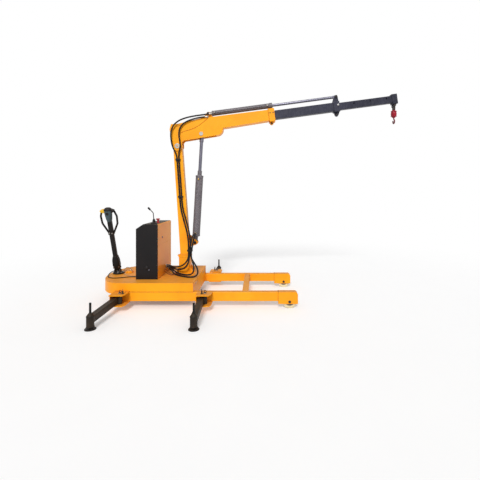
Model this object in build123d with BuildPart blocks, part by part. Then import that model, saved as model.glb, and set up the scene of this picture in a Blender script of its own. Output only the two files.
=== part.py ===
"""Tiller-steered workshop crane with four fold-out outriggers.

The boom points along +X and the tiller stands at the -X end. The floor is Z = 0,
and the origin lies on it below the middle of the overall box.
"""

import os
from math import cos, hypot, radians, sin, tan

from build123d import *

os.makedirs("parts", exist_ok=True)

# Chassis body
BODY_REAR_X = -1751
BODY_FRONT_X = -788
BODY_HALF_WIDTH = 540
BODY_ROUND_LENGTH = 357
DECK_TOP = 332
DECK_PLATE = 8
SKIRT_PLATE = 6
SKIRT_BOTTOM = 185
FRONT_WALL_PLATE = 8
FRONT_WALL_BOTTOM = 100
DRIVE_HOLE_RADIUS = 60

# Legs, leg heads and cross members
LEG_Y = 500
LEG_WIDTH = 80
LEG_BOTTOM = 95
LEG_TOP = 216
LEG_WALL = 6
HEAD_REAR_X = 329
HEAD_FRONT_X = 586
HEAD_BOTTOM = 63
HEAD_WIDTH = 98
HEAD_PLATE = 8
HEAD_CORNER_RADIUS = 40
CROSS_MEMBER_X = -105
CROSS_MEMBER_SIZE = 80
DECK_BEAM_XS = (-1456, -1003)

# Front wheels
WHEEL_X = 478
WHEEL_RADIUS = 90
WHEEL_WIDTH = 66
WHEEL_HUB_RADIUS = 58
AXLE_RADIUS = 12.5
RUNNING_GAP = 0.05

# Outriggers: pin X, splay of the arm at rest away from square, towards +X
PIN_Y = 640
PIN_RADIUS = 12.5
OUTRIGGERS = {"rear": (-1705, -4.5), "front": (-618, 1.6)}
BRACKET_REACH_Y = 732
BRACKET_BEHIND = 106
BRACKET_AHEAD = 85
BRACKET_PLATE = 12
BRACKET_WEB = 6
ARM_OFFSET = 48
ARM_WIDTH = 75
ARM_HEIGHT = 80
ARM_WALL = 5
ARM_PIN_Z = 144
ARM_INNER = 40
ARM_REACH = 575
ARM_DROP = 3.4
BUSH_RADIUS = 30
SLEEVE_RADIUS = 42
SLEEVE_BOTTOM = 24
SLEEVE_SHOULDER = 150
SLEEVE_TOP = 182
SCREW_RADIUS = 12.5
SCREW_TOP = 296
FOOT_RADIUS = 61.5
FOOT_THICKNESS = 12

# Drive unit and tiller, turned this far about +Z from the +X axis at rest
STEER_X = -1985
STEER_HEADING = 270
DRIVE_WHEEL_RADIUS = 100
DRIVE_WHEEL_WIDTH = 70
DRIVE_HUB_RADIUS = 70
DRIVE_AXLE_RADIUS = 15
TURNTABLE_RADIUS = 80
TURNTABLE_TOP = 354
TILLER_PIN_OUT = 38
TILLER_PIN_Z = 398
TILLER_LEAN = 20
TILLER_ARM_LENGTH = 880
TILLER_ARM_WIDTH = 57
TILLER_LOOP_BAR = 13

# Cabinet on the deck
CABINET_REAR_X = -1606
CABINET_FRONT_X = -1307
CABINET_HALF_WIDTH = 350
CABINET_TOP = 1086
CABINET_SHEET = 4
SIDE_PANEL = 5

# Pedestal and mast
MAST_X = -1003
PEDESTAL_WIDTH = 158
PEDESTAL_COLLAR = 172
PEDESTAL_TOP = 609
SPIGOT_RADIUS = 45
SPIGOT_LENGTH = 124
SLEW_GAP = 0.5
MAST_FOOT_TOP = 624
MAST_DEPTH = 135
MAST_WIDTH = 100
MAST_HEAD_RADIUS = 62
BOOM_PIVOT = (-1109, 2199)
PIVOT_PIN_RADIUS = 25

# Lift cylinder, from its foot pin on the mast to its rod pin in the boom
LIFT_FOOT = (-851, 793)
LIFT_PIN_RADIUS = 15
LIFT_BARREL_RADIUS = 54
LIFT_BORE_RADIUS = 45
LIFT_BARREL_START = 88
LIFT_BARREL_END = 981
LIFT_GLAND_RADIUS = 31.5
LIFT_GLAND_END = 1050
LIFT_ROD_RADIUS = 23.5
LIFT_ROD_START = 520
LIFT_EYE_WIDTH = 50

# Boom, in its own axes: u along the boom from the pivot, w square to it
BOOM_PITCH = 7.6
BOOM_WIDTH = 130
BOOM_SIDE_PLATE = 10
EXT_AXIS_W = 266.6
EXT1_HEIGHT = 125
EXT1_WIDTH = 100
EXT1_WALL = 6
EXT1_START = 1214
EXT1_END = 2334
EXT1_COLLAR_END = 2420
EXT2_HEIGHT = 103
EXT2_WIDTH = 75
EXT2_WALL = 6
EXT2_START = 2200
EXT2_END = 3195
EXT2_CAP_END = 3271.5
SLIDE_GAP = 5
BOOM_COLLAR_START = 1379
BOOM_COLLAR_END = 1464
ROD_PIN_U, ROD_PIN_W = 369, 129
ROD_PIN_RADIUS = 19
PUSH_AXIS_W = 416
PUSH_BARREL_RADIUS = 37
PUSH_BARREL_START = 557
PUSH_BARREL_END = 1442
PUSH_ROD_RADIUS = 20
PUSH_PIN_RADIUS = 11
PUSH_REAR_PIN_U = 505
PUSH_FRONT_PIN_U = 2391
BOOM_EYE = (1408, 156)
BOOM_EYE_LUG = 24
EXT1_EYE = (2371, 155)
EYE_HOLE_RADIUS = 13
HOOK_PIN_U, HOOK_PIN_W = 3223, 172
HOOK_PIN_RADIUS = 10.5

# Hook below its shackle
HOOK_BLOCK_TOP = 2734
HOOK_BLOCK_BOTTOM = 2622
HOOK_BLOCK_RADIUS = 41
HOOK_BAR_RADIUS = 9

# Hoses and cables
HOSE_RADIUS = 11


def body_outline(inset, mode=Mode.ADD):
    """Draws the body's plan, square in front and rounded behind, in the open sketch."""
    half = BODY_HALF_WIDTH - inset
    with BuildLine() as outline:
        Polyline(
            (BODY_REAR_X, half),
            (BODY_FRONT_X, half),
            (BODY_FRONT_X, -half),
            (BODY_REAR_X, -half),
        )
        EllipticalCenterArc(
            (BODY_REAR_X, 0),
            BODY_ROUND_LENGTH - inset,
            half,
            start_angle=90,
            arc_size=180,
        )
    make_face(outline.edges(), mode=mode)


# Deck plate, with the drive unit's hole
with BuildPart() as deck_plate:
    with BuildSketch(Plane.XY.offset(DECK_TOP - DECK_PLATE)):
        body_outline(0)
        with Locations((STEER_X, 0)):
            Circle(DRIVE_HOLE_RADIUS, mode=Mode.SUBTRACT)
    extrude(amount=DECK_PLATE)
    deck_rim = deck_plate.edges().group_by(Axis.Z)[-1].filter_by(GeomType.ELLIPSE)
    chamfer(deck_rim, length=2)
deck_plate.part.label = "deck_plate"
export_step(deck_plate.part, "parts/deck_plate.step")

# Skirt under the deck's edge: side walls stand on the legs, the round end hangs lower
deck_underside = DECK_TOP - DECK_PLATE
leg_outside = LEG_Y + LEG_WIDTH / 2
leg_inside = LEG_Y - LEG_WIDTH / 2
with BuildPart() as body_skirt:
    with BuildSketch(Plane.XY.offset(SKIRT_BOTTOM)):
        body_outline(0)
        body_outline(SKIRT_PLATE, mode=Mode.SUBTRACT)
    extrude(amount=deck_underside - SKIRT_BOTTOM)
    with Locations(((BODY_REAR_X + BODY_FRONT_X) / 2, 0, (SKIRT_BOTTOM + LEG_TOP) / 2)):
        Box(
            BODY_FRONT_X - BODY_REAR_X,
            2 * BODY_HALF_WIDTH + 2,
            LEG_TOP - SKIRT_BOTTOM,
            mode=Mode.SUBTRACT,
        )
    front_wall_x = BODY_FRONT_X - FRONT_WALL_PLATE / 2
    with Locations((front_wall_x, 0, (FRONT_WALL_BOTTOM + deck_underside) / 2)):
        Box(FRONT_WALL_PLATE, 2 * leg_inside, deck_underside - FRONT_WALL_BOTTOM)
    with Locations((front_wall_x, 0, (LEG_TOP + deck_underside) / 2)):
        Box(FRONT_WALL_PLATE, 2 * BODY_HALF_WIDTH, deck_underside - LEG_TOP)
body_skirt.part.label = "body_skirt"
export_step(body_skirt.part, "parts/body_skirt.step")

# Box section legs from the rear brackets to the heads, with a plate over the rear end
leg_rear_x = BODY_REAR_X
leg_length = HEAD_REAR_X - leg_rear_x
leg_height = LEG_TOP - LEG_BOTTOM
for side, sign in (("right", -1), ("left", 1)):
    with BuildPart() as leg:
        with BuildSketch(Plane.YZ.offset(leg_rear_x)):
            with Locations((sign * LEG_Y, (LEG_BOTTOM + LEG_TOP) / 2)):
                RectangleRounded(LEG_WIDTH, leg_height, 8)
                Rectangle(LEG_WIDTH - 2 * LEG_WALL, leg_height - 2 * LEG_WALL, mode=Mode.SUBTRACT)
        extrude(amount=leg_length)
        with BuildSketch(Plane.YZ.offset(leg_rear_x)):
            with Locations((sign * LEG_Y, (LEG_BOTTOM + LEG_TOP) / 2)):
                RectangleRounded(LEG_WIDTH, leg_height, 8)
        extrude(amount=LEG_WALL)
    leg.part.label = f"leg_{side}"
    export_step(leg.part, f"parts/leg_{side}.step")

# Wheel forks at the legs' ends: a top, two cheeks and a rear wall, open below
for side, sign in (("right", -1), ("left", 1)):
    with BuildPart() as leg_head:
        with BuildSketch(Plane.XZ.offset(-sign * LEG_Y)):
            with Locations(((HEAD_REAR_X + HEAD_FRONT_X) / 2, (HEAD_BOTTOM + LEG_TOP) / 2)):
                Rectangle(HEAD_FRONT_X - HEAD_REAR_X, LEG_TOP - HEAD_BOTTOM)
            fillet(vertices().sort_by(Axis.Y)[-2:].sort_by(Axis.X)[-1], HEAD_CORNER_RADIUS)
        extrude(amount=HEAD_WIDTH / 2, both=True)
        with BuildSketch(Plane.XZ.offset(-sign * LEG_Y)):
            with Locations(
                ((HEAD_REAR_X + HEAD_FRONT_X) / 2, (HEAD_BOTTOM + LEG_TOP) / 2 - HEAD_PLATE)
            ):
                Rectangle(
                    HEAD_FRONT_X - HEAD_REAR_X - 2 * HEAD_PLATE,
                    LEG_TOP - HEAD_BOTTOM,
                )
            fillet(vertices().group_by(Axis.Y)[-1].sort_by(Axis.X)[-1], 30)
        extrude(amount=HEAD_WIDTH / 2 - HEAD_PLATE, both=True, mode=Mode.SUBTRACT)
        with BuildSketch(Plane.XZ.offset(-sign * LEG_Y)):
            with Locations((WHEEL_X, WHEEL_RADIUS)):
                Circle(AXLE_RADIUS + RUNNING_GAP)
        extrude(amount=HEAD_WIDTH, both=True, mode=Mode.SUBTRACT)
    leg_head.part.label = f"leg_head_{side}"
    export_step(leg_head.part, f"parts/leg_head_{side}.step")

# Axles of the two front wheels, each with a round head against the fork's cheeks
with BuildPart() as front_axles:
    for sign in (-1, 1):
        with BuildSketch(Plane.XZ.offset(-sign * LEG_Y)):
            with Locations((WHEEL_X, WHEEL_RADIUS)):
                Circle(AXLE_RADIUS)
        extrude(amount=HEAD_WIDTH / 2, both=True)
        for face_sign in (-1, 1):
            with BuildSketch(Plane.XZ.offset(-sign * LEG_Y + face_sign * HEAD_WIDTH / 2)):
                with Locations((WHEEL_X, WHEEL_RADIUS)):
                    Circle(AXLE_RADIUS + 6)
            extrude(amount=face_sign * 4)
front_axles.part.label = "front_axles"
export_step(front_axles.part, "parts/front_axles.step")

# Front wheels: a cast hub with a recessed web, and a solid polyurethane tread
for side, sign in (("right", -1), ("left", 1)):
    wheel_plane = Plane(
        origin=(WHEEL_X, sign * LEG_Y, WHEEL_RADIUS), x_dir=(1, 0, 0), z_dir=(0, -1, 0)
    )
    with BuildPart() as front_hub:
        with BuildSketch(wheel_plane):
            Circle(WHEEL_HUB_RADIUS)
            Circle(AXLE_RADIUS + RUNNING_GAP, mode=Mode.SUBTRACT)
        extrude(amount=WHEEL_WIDTH / 2, both=True)
        for face_sign in (-1, 1):
            with BuildSketch(wheel_plane.offset(face_sign * WHEEL_WIDTH / 2)):
                Circle(WHEEL_HUB_RADIUS - 8)
                Circle(AXLE_RADIUS + 12, mode=Mode.SUBTRACT)
            extrude(amount=-face_sign * 14, mode=Mode.SUBTRACT)
    front_hub.part.label = f"front_hub_{side}"
    export_step(front_hub.part, f"parts/front_hub_{side}.step")

    with BuildPart() as front_tyre:
        with BuildSketch(wheel_plane):
            Circle(WHEEL_RADIUS)
            Circle(WHEEL_HUB_RADIUS, mode=Mode.SUBTRACT)
        extrude(amount=WHEEL_WIDTH / 2, both=True)
        rims = front_tyre.edges().filter_by(GeomType.CIRCLE).group_by(SortBy.RADIUS)[-1]
        fillet(rims, 5)
    front_tyre.part.label = f"front_tyre_{side}"
    export_step(front_tyre.part, f"parts/front_tyre_{side}.step")

# Cross member between the legs, ahead of the body
with BuildPart() as cross_member:
    with Locations((CROSS_MEMBER_X, 0, LEG_TOP - CROSS_MEMBER_SIZE / 2)):
        Box(CROSS_MEMBER_SIZE, 2 * leg_inside, CROSS_MEMBER_SIZE)
        Box(
            CROSS_MEMBER_SIZE - 10,
            2 * leg_inside,
            CROSS_MEMBER_SIZE - 10,
            mode=Mode.SUBTRACT,
        )
cross_member.part.label = "cross_member"
export_step(cross_member.part, "parts/cross_member.step")

# Beams under the deck that carry the battery and the pedestal
deck_beam_height = deck_underside - LEG_BOTTOM - 50
with BuildPart() as deck_beams:
    for beam_x in DECK_BEAM_XS:
        with Locations((beam_x, 0, deck_underside - deck_beam_height / 2)):
            Box(90, 2 * leg_inside, deck_beam_height)
            Box(76, 2 * leg_inside, deck_beam_height - 14, mode=Mode.SUBTRACT)
deck_beams.part.label = "deck_beams"
export_step(deck_beams.part, "parts/deck_beams.step")

# Outrigger brackets: a top and a bottom plate joined by a web behind the arm
bracket_gap_top = LEG_TOP
bracket_gap_bottom = LEG_BOTTOM
with BuildPart() as outrigger_brackets:
    for pin_x, _ in OUTRIGGERS.values():
        for sign in (-1, 1):
            for low, inner in ((bracket_gap_top, leg_outside), (LEG_BOTTOM - BRACKET_PLATE, leg_inside)):
                with BuildSketch(Plane.XY.offset(low)):
                    with BuildLine():
                        Polyline(
                            (pin_x - BRACKET_BEHIND, sign * inner),
                            (pin_x - BRACKET_BEHIND, sign * BRACKET_REACH_Y),
                            (pin_x + BRACKET_AHEAD - 24, sign * BRACKET_REACH_Y),
                            (pin_x + BRACKET_AHEAD, sign * (BRACKET_REACH_Y - 60)),
                            (pin_x + BRACKET_AHEAD, sign * inner),
                            close=True,
                        )
                    make_face()
                    with Locations((pin_x, sign * PIN_Y)):
                        Circle(PIN_RADIUS + RUNNING_GAP, mode=Mode.SUBTRACT)
                extrude(amount=BRACKET_PLATE)
            web_height = bracket_gap_top - bracket_gap_bottom
            with Locations(
                (
                    pin_x - BRACKET_BEHIND + BRACKET_WEB / 2,
                    sign * (leg_outside + BRACKET_REACH_Y - 30) / 2,
                    bracket_gap_bottom + web_height / 2,
                )
            ):
                Box(BRACKET_WEB, BRACKET_REACH_Y - 30 - leg_outside, web_height)
outrigger_brackets.part.label = "outrigger_brackets"
export_step(outrigger_brackets.part, "parts/outrigger_brackets.step")

# Pivot pins of the outrigger arms, with a head on top and a washer below
pin_low = LEG_BOTTOM - BRACKET_PLATE
pin_high = LEG_TOP + BRACKET_PLATE
with BuildPart() as outrigger_pins:
    for pin_x, _ in OUTRIGGERS.values():
        with BuildSketch(Plane.XY.offset(pin_low)):
            with Locations((pin_x, -PIN_Y), (pin_x, PIN_Y)):
                Circle(PIN_RADIUS)
        extrude(amount=pin_high - pin_low)
        for level, height in ((pin_high, 8), (pin_low - 5, 5)):
            with BuildSketch(Plane.XY.offset(level)):
                with Locations((pin_x, -PIN_Y), (pin_x, PIN_Y)):
                    Circle(PIN_RADIUS + 7)
            extrude(amount=height)
outrigger_pins.part.label = "outrigger_pins"
export_step(outrigger_pins.part, "parts/outrigger_pins.step")

# Outrigger arms: square tube beside its pivot bush, and a jack sleeve at the outer end
drop = tan(radians(ARM_DROP))
for place, (pin_x, splay) in OUTRIGGERS.items():
    for side, sign in (("right", -1), ("left", 1)):
        outward = (sin(radians(splay)), sign * cos(radians(splay)), 0)
        across = (cos(radians(splay)), -sign * sin(radians(splay)), 0)
        arm_x = pin_x - ARM_OFFSET * across[0]
        arm_y = sign * PIN_Y - ARM_OFFSET * across[1]
        foot_x = arm_x + ARM_REACH * outward[0]
        foot_y = arm_y + ARM_REACH * outward[1]
        with BuildPart() as arm:
            inner_end = Plane(
                origin=(
                    arm_x - ARM_INNER * outward[0],
                    arm_y - ARM_INNER * outward[1],
                    ARM_PIN_Z + ARM_INNER * drop,
                ),
                x_dir=across,
                z_dir=(outward[0], outward[1], -drop),
            )
            with BuildSketch(inner_end):
                RectangleRounded(ARM_WIDTH, ARM_HEIGHT, 6)
                Rectangle(
                    ARM_WIDTH - 2 * ARM_WALL, ARM_HEIGHT - 2 * ARM_WALL, mode=Mode.SUBTRACT
                )
            extrude(amount=(ARM_REACH + ARM_INNER) / cos(radians(ARM_DROP)))
            with BuildSketch(Plane.XY.offset(LEG_BOTTOM + 3)):
                with Locations((pin_x, sign * PIN_Y)):
                    Circle(BUSH_RADIUS)
            extrude(amount=leg_height - 6)
            with BuildSketch(Plane.XY.offset(SLEEVE_BOTTOM)):
                with Locations((foot_x, foot_y)):
                    Circle(SLEEVE_RADIUS)
            extrude(amount=SLEEVE_SHOULDER - SLEEVE_BOTTOM)
            with BuildSketch(Plane.XY.offset(SLEEVE_SHOULDER)):
                with Locations((foot_x, foot_y)):
                    Circle(SLEEVE_RADIUS)
            with BuildSketch(Plane.XY.offset(SLEEVE_TOP)):
                with Locations((foot_x, foot_y)):
                    Circle(SCREW_RADIUS + 6)
            loft()
            with BuildSketch(Plane.XY.offset(SLEEVE_BOTTOM)):
                with Locations((foot_x, foot_y)):
                    Circle(SCREW_RADIUS + RUNNING_GAP)
                with Locations((pin_x, sign * PIN_Y)):
                    Circle(PIN_RADIUS + RUNNING_GAP)
            extrude(amount=LEG_TOP, mode=Mode.SUBTRACT)
        arm.part.label = f"outrigger_arm_{place}_{side}"
        export_step(arm.part, f"parts/outrigger_arm_{place}_{side}.step")

        with BuildPart() as jack:
            with BuildSketch(Plane.XY):
                with Locations((foot_x, foot_y)):
                    Circle(FOOT_RADIUS)
            extrude(amount=FOOT_THICKNESS)
            chamfer(jack.edges().group_by(Axis.Z)[-1], length=4)
            with BuildSketch(Plane.XY.offset(FOOT_THICKNESS)):
                with Locations((foot_x, foot_y)):
                    Circle(SCREW_RADIUS)
            extrude(amount=SCREW_TOP - FOOT_THICKNESS)
            chamfer(jack.edges().group_by(Axis.Z)[-1], length=3)
        jack.part.label = f"jack_{place}_{side}"
        export_step(jack.part, f"parts/jack_{place}_{side}.step")

# Drive unit: everything here turns with the tiller
heading = (cos(radians(STEER_HEADING)), sin(radians(STEER_HEADING)), 0)
axle_direction = (-heading[1], heading[0], 0)


def steer_plane(height):
    """The level plane on the steering axis, x along the tiller's heading."""
    return Plane(origin=(STEER_X, 0, height), x_dir=heading, z_dir=(0, 0, 1))


with BuildPart() as turntable:
    with BuildSketch(steer_plane(DECK_TOP + SLEW_GAP)):
        Circle(TURNTABLE_RADIUS)
    extrude(amount=TURNTABLE_TOP - DECK_TOP - SLEW_GAP)
    chamfer(turntable.edges().group_by(Axis.Z)[-1], length=5)
    with BuildSketch(steer_plane(305)):
        Circle(DRIVE_HOLE_RADIUS - 5)
    extrude(amount=DECK_TOP + SLEW_GAP - 305)
turntable.part.label = "turntable"
export_step(turntable.part, "parts/turntable.step")

with BuildPart() as drive_motor:
    with BuildSketch(steer_plane(231)):
        Circle(78)
    extrude(amount=305 - 231)
    chamfer(drive_motor.edges().filter_by(GeomType.CIRCLE), length=5)
drive_motor.part.label = "drive_motor"
export_step(drive_motor.part, "parts/drive_motor.step")

wheel_cheek_y = DRIVE_WHEEL_WIDTH / 2 + 6
with BuildPart() as drive_fork:
    with Locations(steer_plane(223)):
        Box(150, 2 * (wheel_cheek_y + 12), 16)
    for sign in (-1, 1):
        cheek = Plane(
            origin=(
                STEER_X + sign * wheel_cheek_y * axle_direction[0],
                sign * wheel_cheek_y * axle_direction[1],
                DRIVE_WHEEL_RADIUS,
            ),
            x_dir=heading,
            z_dir=(sign * axle_direction[0], sign * axle_direction[1], 0),
        )
        up = 1 if cheek.y_dir.Z > 0 else -1
        with BuildSketch(cheek):
            with BuildLine():
                Polyline(
                    (-36, 0),
                    (-60, up * 115),
                    (60, up * 115),
                    (36, 0),
                )
                ThreePointArc((36, 0), (0, -up * 36), (-36, 0))
            make_face()
        extrude(amount=12)
    axle_plane = Plane(
        origin=(STEER_X, 0, DRIVE_WHEEL_RADIUS), x_dir=heading, z_dir=axle_direction
    )
    with BuildSketch(axle_plane):
        Circle(DRIVE_AXLE_RADIUS)
    extrude(amount=wheel_cheek_y + 14, both=True)
drive_fork.part.label = "drive_fork"
export_step(drive_fork.part, "parts/drive_fork.step")

with BuildPart() as drive_hub:
    with BuildSketch(axle_plane):
        Circle(DRIVE_HUB_RADIUS)
        Circle(DRIVE_AXLE_RADIUS + RUNNING_GAP, mode=Mode.SUBTRACT)
    extrude(amount=DRIVE_WHEEL_WIDTH / 2, both=True)
drive_hub.part.label = "drive_hub"
export_step(drive_hub.part, "parts/drive_hub.step")

with BuildPart() as drive_tyre:
    with BuildSketch(axle_plane):
        Circle(DRIVE_WHEEL_RADIUS)
        Circle(DRIVE_HUB_RADIUS, mode=Mode.SUBTRACT)
    extrude(amount=DRIVE_WHEEL_WIDTH / 2, both=True)
    rims = drive_tyre.edges().filter_by(GeomType.CIRCLE).group_by(SortBy.RADIUS)[-1]
    fillet(rims, 5)
drive_tyre.part.label = "drive_tyre"
export_step(drive_tyre.part, "parts/drive_tyre.step")

# Tiller hinge: two ears on the turntable with a pin between them
tiller_pivot = (
    STEER_X + TILLER_PIN_OUT * heading[0],
    TILLER_PIN_OUT * heading[1],
    TILLER_PIN_Z,
)
hinge_plane = Plane(
    origin=tiller_pivot, x_dir=heading, z_dir=(-axle_direction[0], -axle_direction[1], 0)
)
yoke_gap = 31
with BuildPart() as tiller_yoke:
    for sign in (-1, 1):
        with BuildSketch(hinge_plane.offset(sign * yoke_gap)):
            Circle(22)
            with Locations((-TILLER_PIN_OUT + 30, (TURNTABLE_TOP - TILLER_PIN_Z) / 2)):
                Rectangle(76, TILLER_PIN_Z - TURNTABLE_TOP)
        extrude(amount=sign * 10)
    with BuildSketch(hinge_plane):
        Circle(10)
    extrude(amount=yoke_gap + 14, both=True)
tiller_yoke.part.label = "tiller_yoke"
export_step(tiller_yoke.part, "parts/tiller_yoke.step")

# Tiller arm: a flared foot round the hinge pin, then a straight box up to the head
lean = radians(TILLER_LEAN)
tiller_direction = (heading[0] * sin(lean), heading[1] * sin(lean), cos(lean))


def tiller_plane(distance):
    """The plane square to the tiller at a distance from its hinge, x along the hinge pin."""
    return Plane(
        origin=[start + distance * step for start, step in zip(tiller_pivot, tiller_direction)],
        x_dir=axle_direction,
        z_dir=tiller_direction,
    )


with BuildPart() as tiller_arm:
    with BuildSketch(tiller_plane(170)):
        RectangleRounded(TILLER_ARM_WIDTH, 46, 8)
    extrude(amount=TILLER_ARM_LENGTH - 170)
    with BuildSketch(tiller_plane(40)):
        RectangleRounded(104, 52, 8)
    with BuildSketch(tiller_plane(170)):
        RectangleRounded(TILLER_ARM_WIDTH, 46, 8)
    loft()
    with BuildSketch(tiller_plane(30)):
        RectangleRounded(104, 52, 8)
    extrude(amount=10)
    with BuildSketch(tiller_plane(0)):
        Rectangle(50, 40)
    extrude(amount=36)
    with BuildSketch(hinge_plane):
        Circle(20)
    extrude(amount=25, both=True)
    with BuildSketch(hinge_plane):
        Circle(10 + RUNNING_GAP)
    extrude(amount=80, both=True, mode=Mode.SUBTRACT)
tiller_arm.part.label = "tiller_arm"
export_step(tiller_arm.part, "parts/tiller_arm.step")

# Handle loop: a bent bar that runs from one side of the head round to the other
handle_plane = Plane(
    origin=tiller_pivot,
    x_dir=axle_direction,
    z_dir=Vector(*axle_direction).cross(Vector(*tiller_direction)),
)
handle_points = [
    (-84, 925),
    (-110, 850),
    (-104, 740),
    (-36, 600),
    (36, 600),
    (104, 740),
    (110, 850),
    (84, 925),
]
with BuildPart() as tiller_handle:
    with BuildLine(handle_plane) as handle_path:
        FilletPolyline(*handle_points, radius=[60, 50, 25, 25, 50, 60])
    handle_line = handle_path.line
    with BuildSketch(Plane(origin=handle_line @ 0, z_dir=handle_line % 0)):
        Circle(TILLER_LOOP_BAR)
    sweep(path=handle_line)
    with BuildSketch(tiller_plane(600 - 22)):
        RectangleRounded(76, 60, 8)
    extrude(amount=44)
    add(tiller_arm.part, mode=Mode.SUBTRACT)
tiller_handle.part.label = "tiller_handle"
export_step(tiller_handle.part, "parts/tiller_handle.step")

# Control head on top of the arm, wide as the handle's grips
with BuildPart() as tiller_head:
    with BuildSketch(tiller_plane(TILLER_ARM_LENGTH)):
        RectangleRounded(190, 74, 24)
    extrude(amount=78)
    fillet(tiller_head.faces().sort_by(Axis.Z)[-1].edges(), 12)
    with BuildSketch(tiller_plane(TILLER_ARM_LENGTH)):
        RectangleRounded(190, 74, 24)
    with BuildSketch(tiller_plane(TILLER_ARM_LENGTH - 46)):
        RectangleRounded(96, 58, 16)
    loft()
    add(tiller_arm.part, mode=Mode.SUBTRACT)
    add(tiller_handle.part, mode=Mode.SUBTRACT)
tiller_head.part.label = "tiller_head"
export_step(tiller_head.part, "parts/tiller_head.step")


def cabinet_profile(inset):
    """Draws the cabinet's side outline, with its rear top edge cut off, in the open sketch."""
    with BuildLine() as outline:
        Polyline(
            (CABINET_REAR_X + inset, DECK_TOP),
            (CABINET_REAR_X + inset, 1021 - inset / 2),
            (CABINET_REAR_X + 98 + inset / 2, CABINET_TOP - inset),
            (CABINET_FRONT_X - inset, CABINET_TOP - inset),
            (CABINET_FRONT_X - inset, DECK_TOP),
            close=True,
        )
    make_face(outline.edges())


# Cabinet shell: rear, top and front in bent sheet, open at both sides and below
with BuildPart() as cabinet_shell:
    with BuildSketch(Plane.XZ):
        cabinet_profile(0)
    extrude(amount=CABINET_HALF_WIDTH - SIDE_PANEL, both=True)
    top_front = cabinet_shell.edges().filter_by(Axis.Y).sort_by(Axis.Z)[-2:].sort_by(Axis.X)[-1]
    fillet(top_front, 14)
    with BuildSketch(Plane.XZ):
        cabinet_profile(CABINET_SHEET)
        fillet(vertices().sort_by(Axis.Y)[-2:].sort_by(Axis.X)[-1], 10)
    extrude(amount=CABINET_HALF_WIDTH, both=True, mode=Mode.SUBTRACT)
    with Locations((CABINET_FRONT_X, 0, 790)):
        Box(3, 2 * CABINET_HALF_WIDTH, 4, mode=Mode.SUBTRACT)
cabinet_shell.part.label = "cabinet_shell"
export_step(cabinet_shell.part, "parts/cabinet_shell.step")

# Bulkhead fittings on the cabinet's front, where the hoses end
with BuildPart() as hose_fittings:
    for fitting_y, fitting_z in ((190, 362), (80, 438)):
        with BuildSketch(Plane.YZ.offset(CABINET_FRONT_X)):
            with Locations((fitting_y, fitting_z)):
                RegularPolygon(17, 6)
        extrude(amount=12)
hose_fittings.part.label = "hose_fittings"
export_step(hose_fittings.part, "parts/hose_fittings.step")

# Side panels that close the cabinet's ends
with BuildPart() as cabinet_sides:
    for sign in (-1, 1):
        with BuildSketch(Plane.XZ.offset(sign * (CABINET_HALF_WIDTH - SIDE_PANEL))):
            cabinet_profile(0)
            fillet(vertices().sort_by(Axis.Y)[-2:].sort_by(Axis.X)[-1], 14)
        extrude(amount=sign * SIDE_PANEL)
cabinet_sides.part.label = "cabinet_sides"
export_step(cabinet_sides.part, "parts/cabinet_sides.step")

# Battery and pump unit inside the cabinet, as one plain mass
with BuildPart() as battery_block:
    with Locations((DECK_BEAM_XS[0], 0, DECK_TOP + 180)):
        Box(230, 600, 360)
battery_block.part.label = "battery_block"
export_step(battery_block.part, "parts/battery_block.step")

# Valve block with its bent lever, and the emergency stop, on the cabinet's top
VALVE_X = CABINET_FRONT_X - 72
VALVE_Y = -280
with BuildPart() as valve_block:
    with Locations((VALVE_X, VALVE_Y, CABINET_TOP + 9)):
        Box(62, 70, 18)
    with BuildSketch(Plane.XY.offset(CABINET_TOP + 18)):
        with Locations((VALVE_X, VALVE_Y)):
            Circle(19)
    extrude(amount=16, taper=20)
valve_block.part.label = "valve_block"
export_step(valve_block.part, "parts/valve_block.step")

with BuildPart() as valve_lever:
    with BuildLine() as lever_path:
        FilletPolyline(
            (VALVE_X, VALVE_Y, CABINET_TOP + 30),
            (VALVE_X - 12, VALVE_Y, 1240),
            (VALVE_X - 56, VALVE_Y, 1284),
            radius=24,
        )
    with BuildSketch(Plane(origin=lever_path.line @ 0, z_dir=lever_path.line % 0)):
        Circle(6)
    sweep()
    with BuildSketch(Plane(origin=lever_path.line @ 1, z_dir=lever_path.line % 1)):
        Circle(11)
    extrude(amount=38)
    fillet(valve_lever.faces().sort_by(Axis.Z)[-1].edges(), 6)
    add(valve_block.part, mode=Mode.SUBTRACT)
valve_lever.part.label = "valve_lever"
export_step(valve_lever.part, "parts/valve_lever.step")

STOP_Y = -150
with BuildPart() as emergency_stop:
    with BuildSketch(Plane.XY.offset(CABINET_TOP)):
        with Locations((CABINET_FRONT_X - 62, STOP_Y)):
            Circle(15)
    extrude(amount=16)
    with BuildSketch(Plane.XY.offset(CABINET_TOP + 16)):
        with Locations((CABINET_FRONT_X - 62, STOP_Y)):
            Circle(23)
    extrude(amount=16)
    fillet(emergency_stop.edges().group_by(Axis.Z)[-1], 8)
emergency_stop.part.label = "emergency_stop"
export_step(emergency_stop.part, "parts/emergency_stop.step")

# Low dome over the steering gear's motor, between the tiller and the cabinet
with BuildPart() as deck_dome:
    with BuildSketch(Plane.XY.offset(DECK_TOP)):
        with Locations((-1852, 83)):
            Circle(56)
    extrude(amount=24)
    fillet(deck_dome.edges().group_by(Axis.Z)[-1], 20)
deck_dome.part.label = "deck_dome"
export_step(deck_dome.part, "parts/deck_dome.step")

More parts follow.
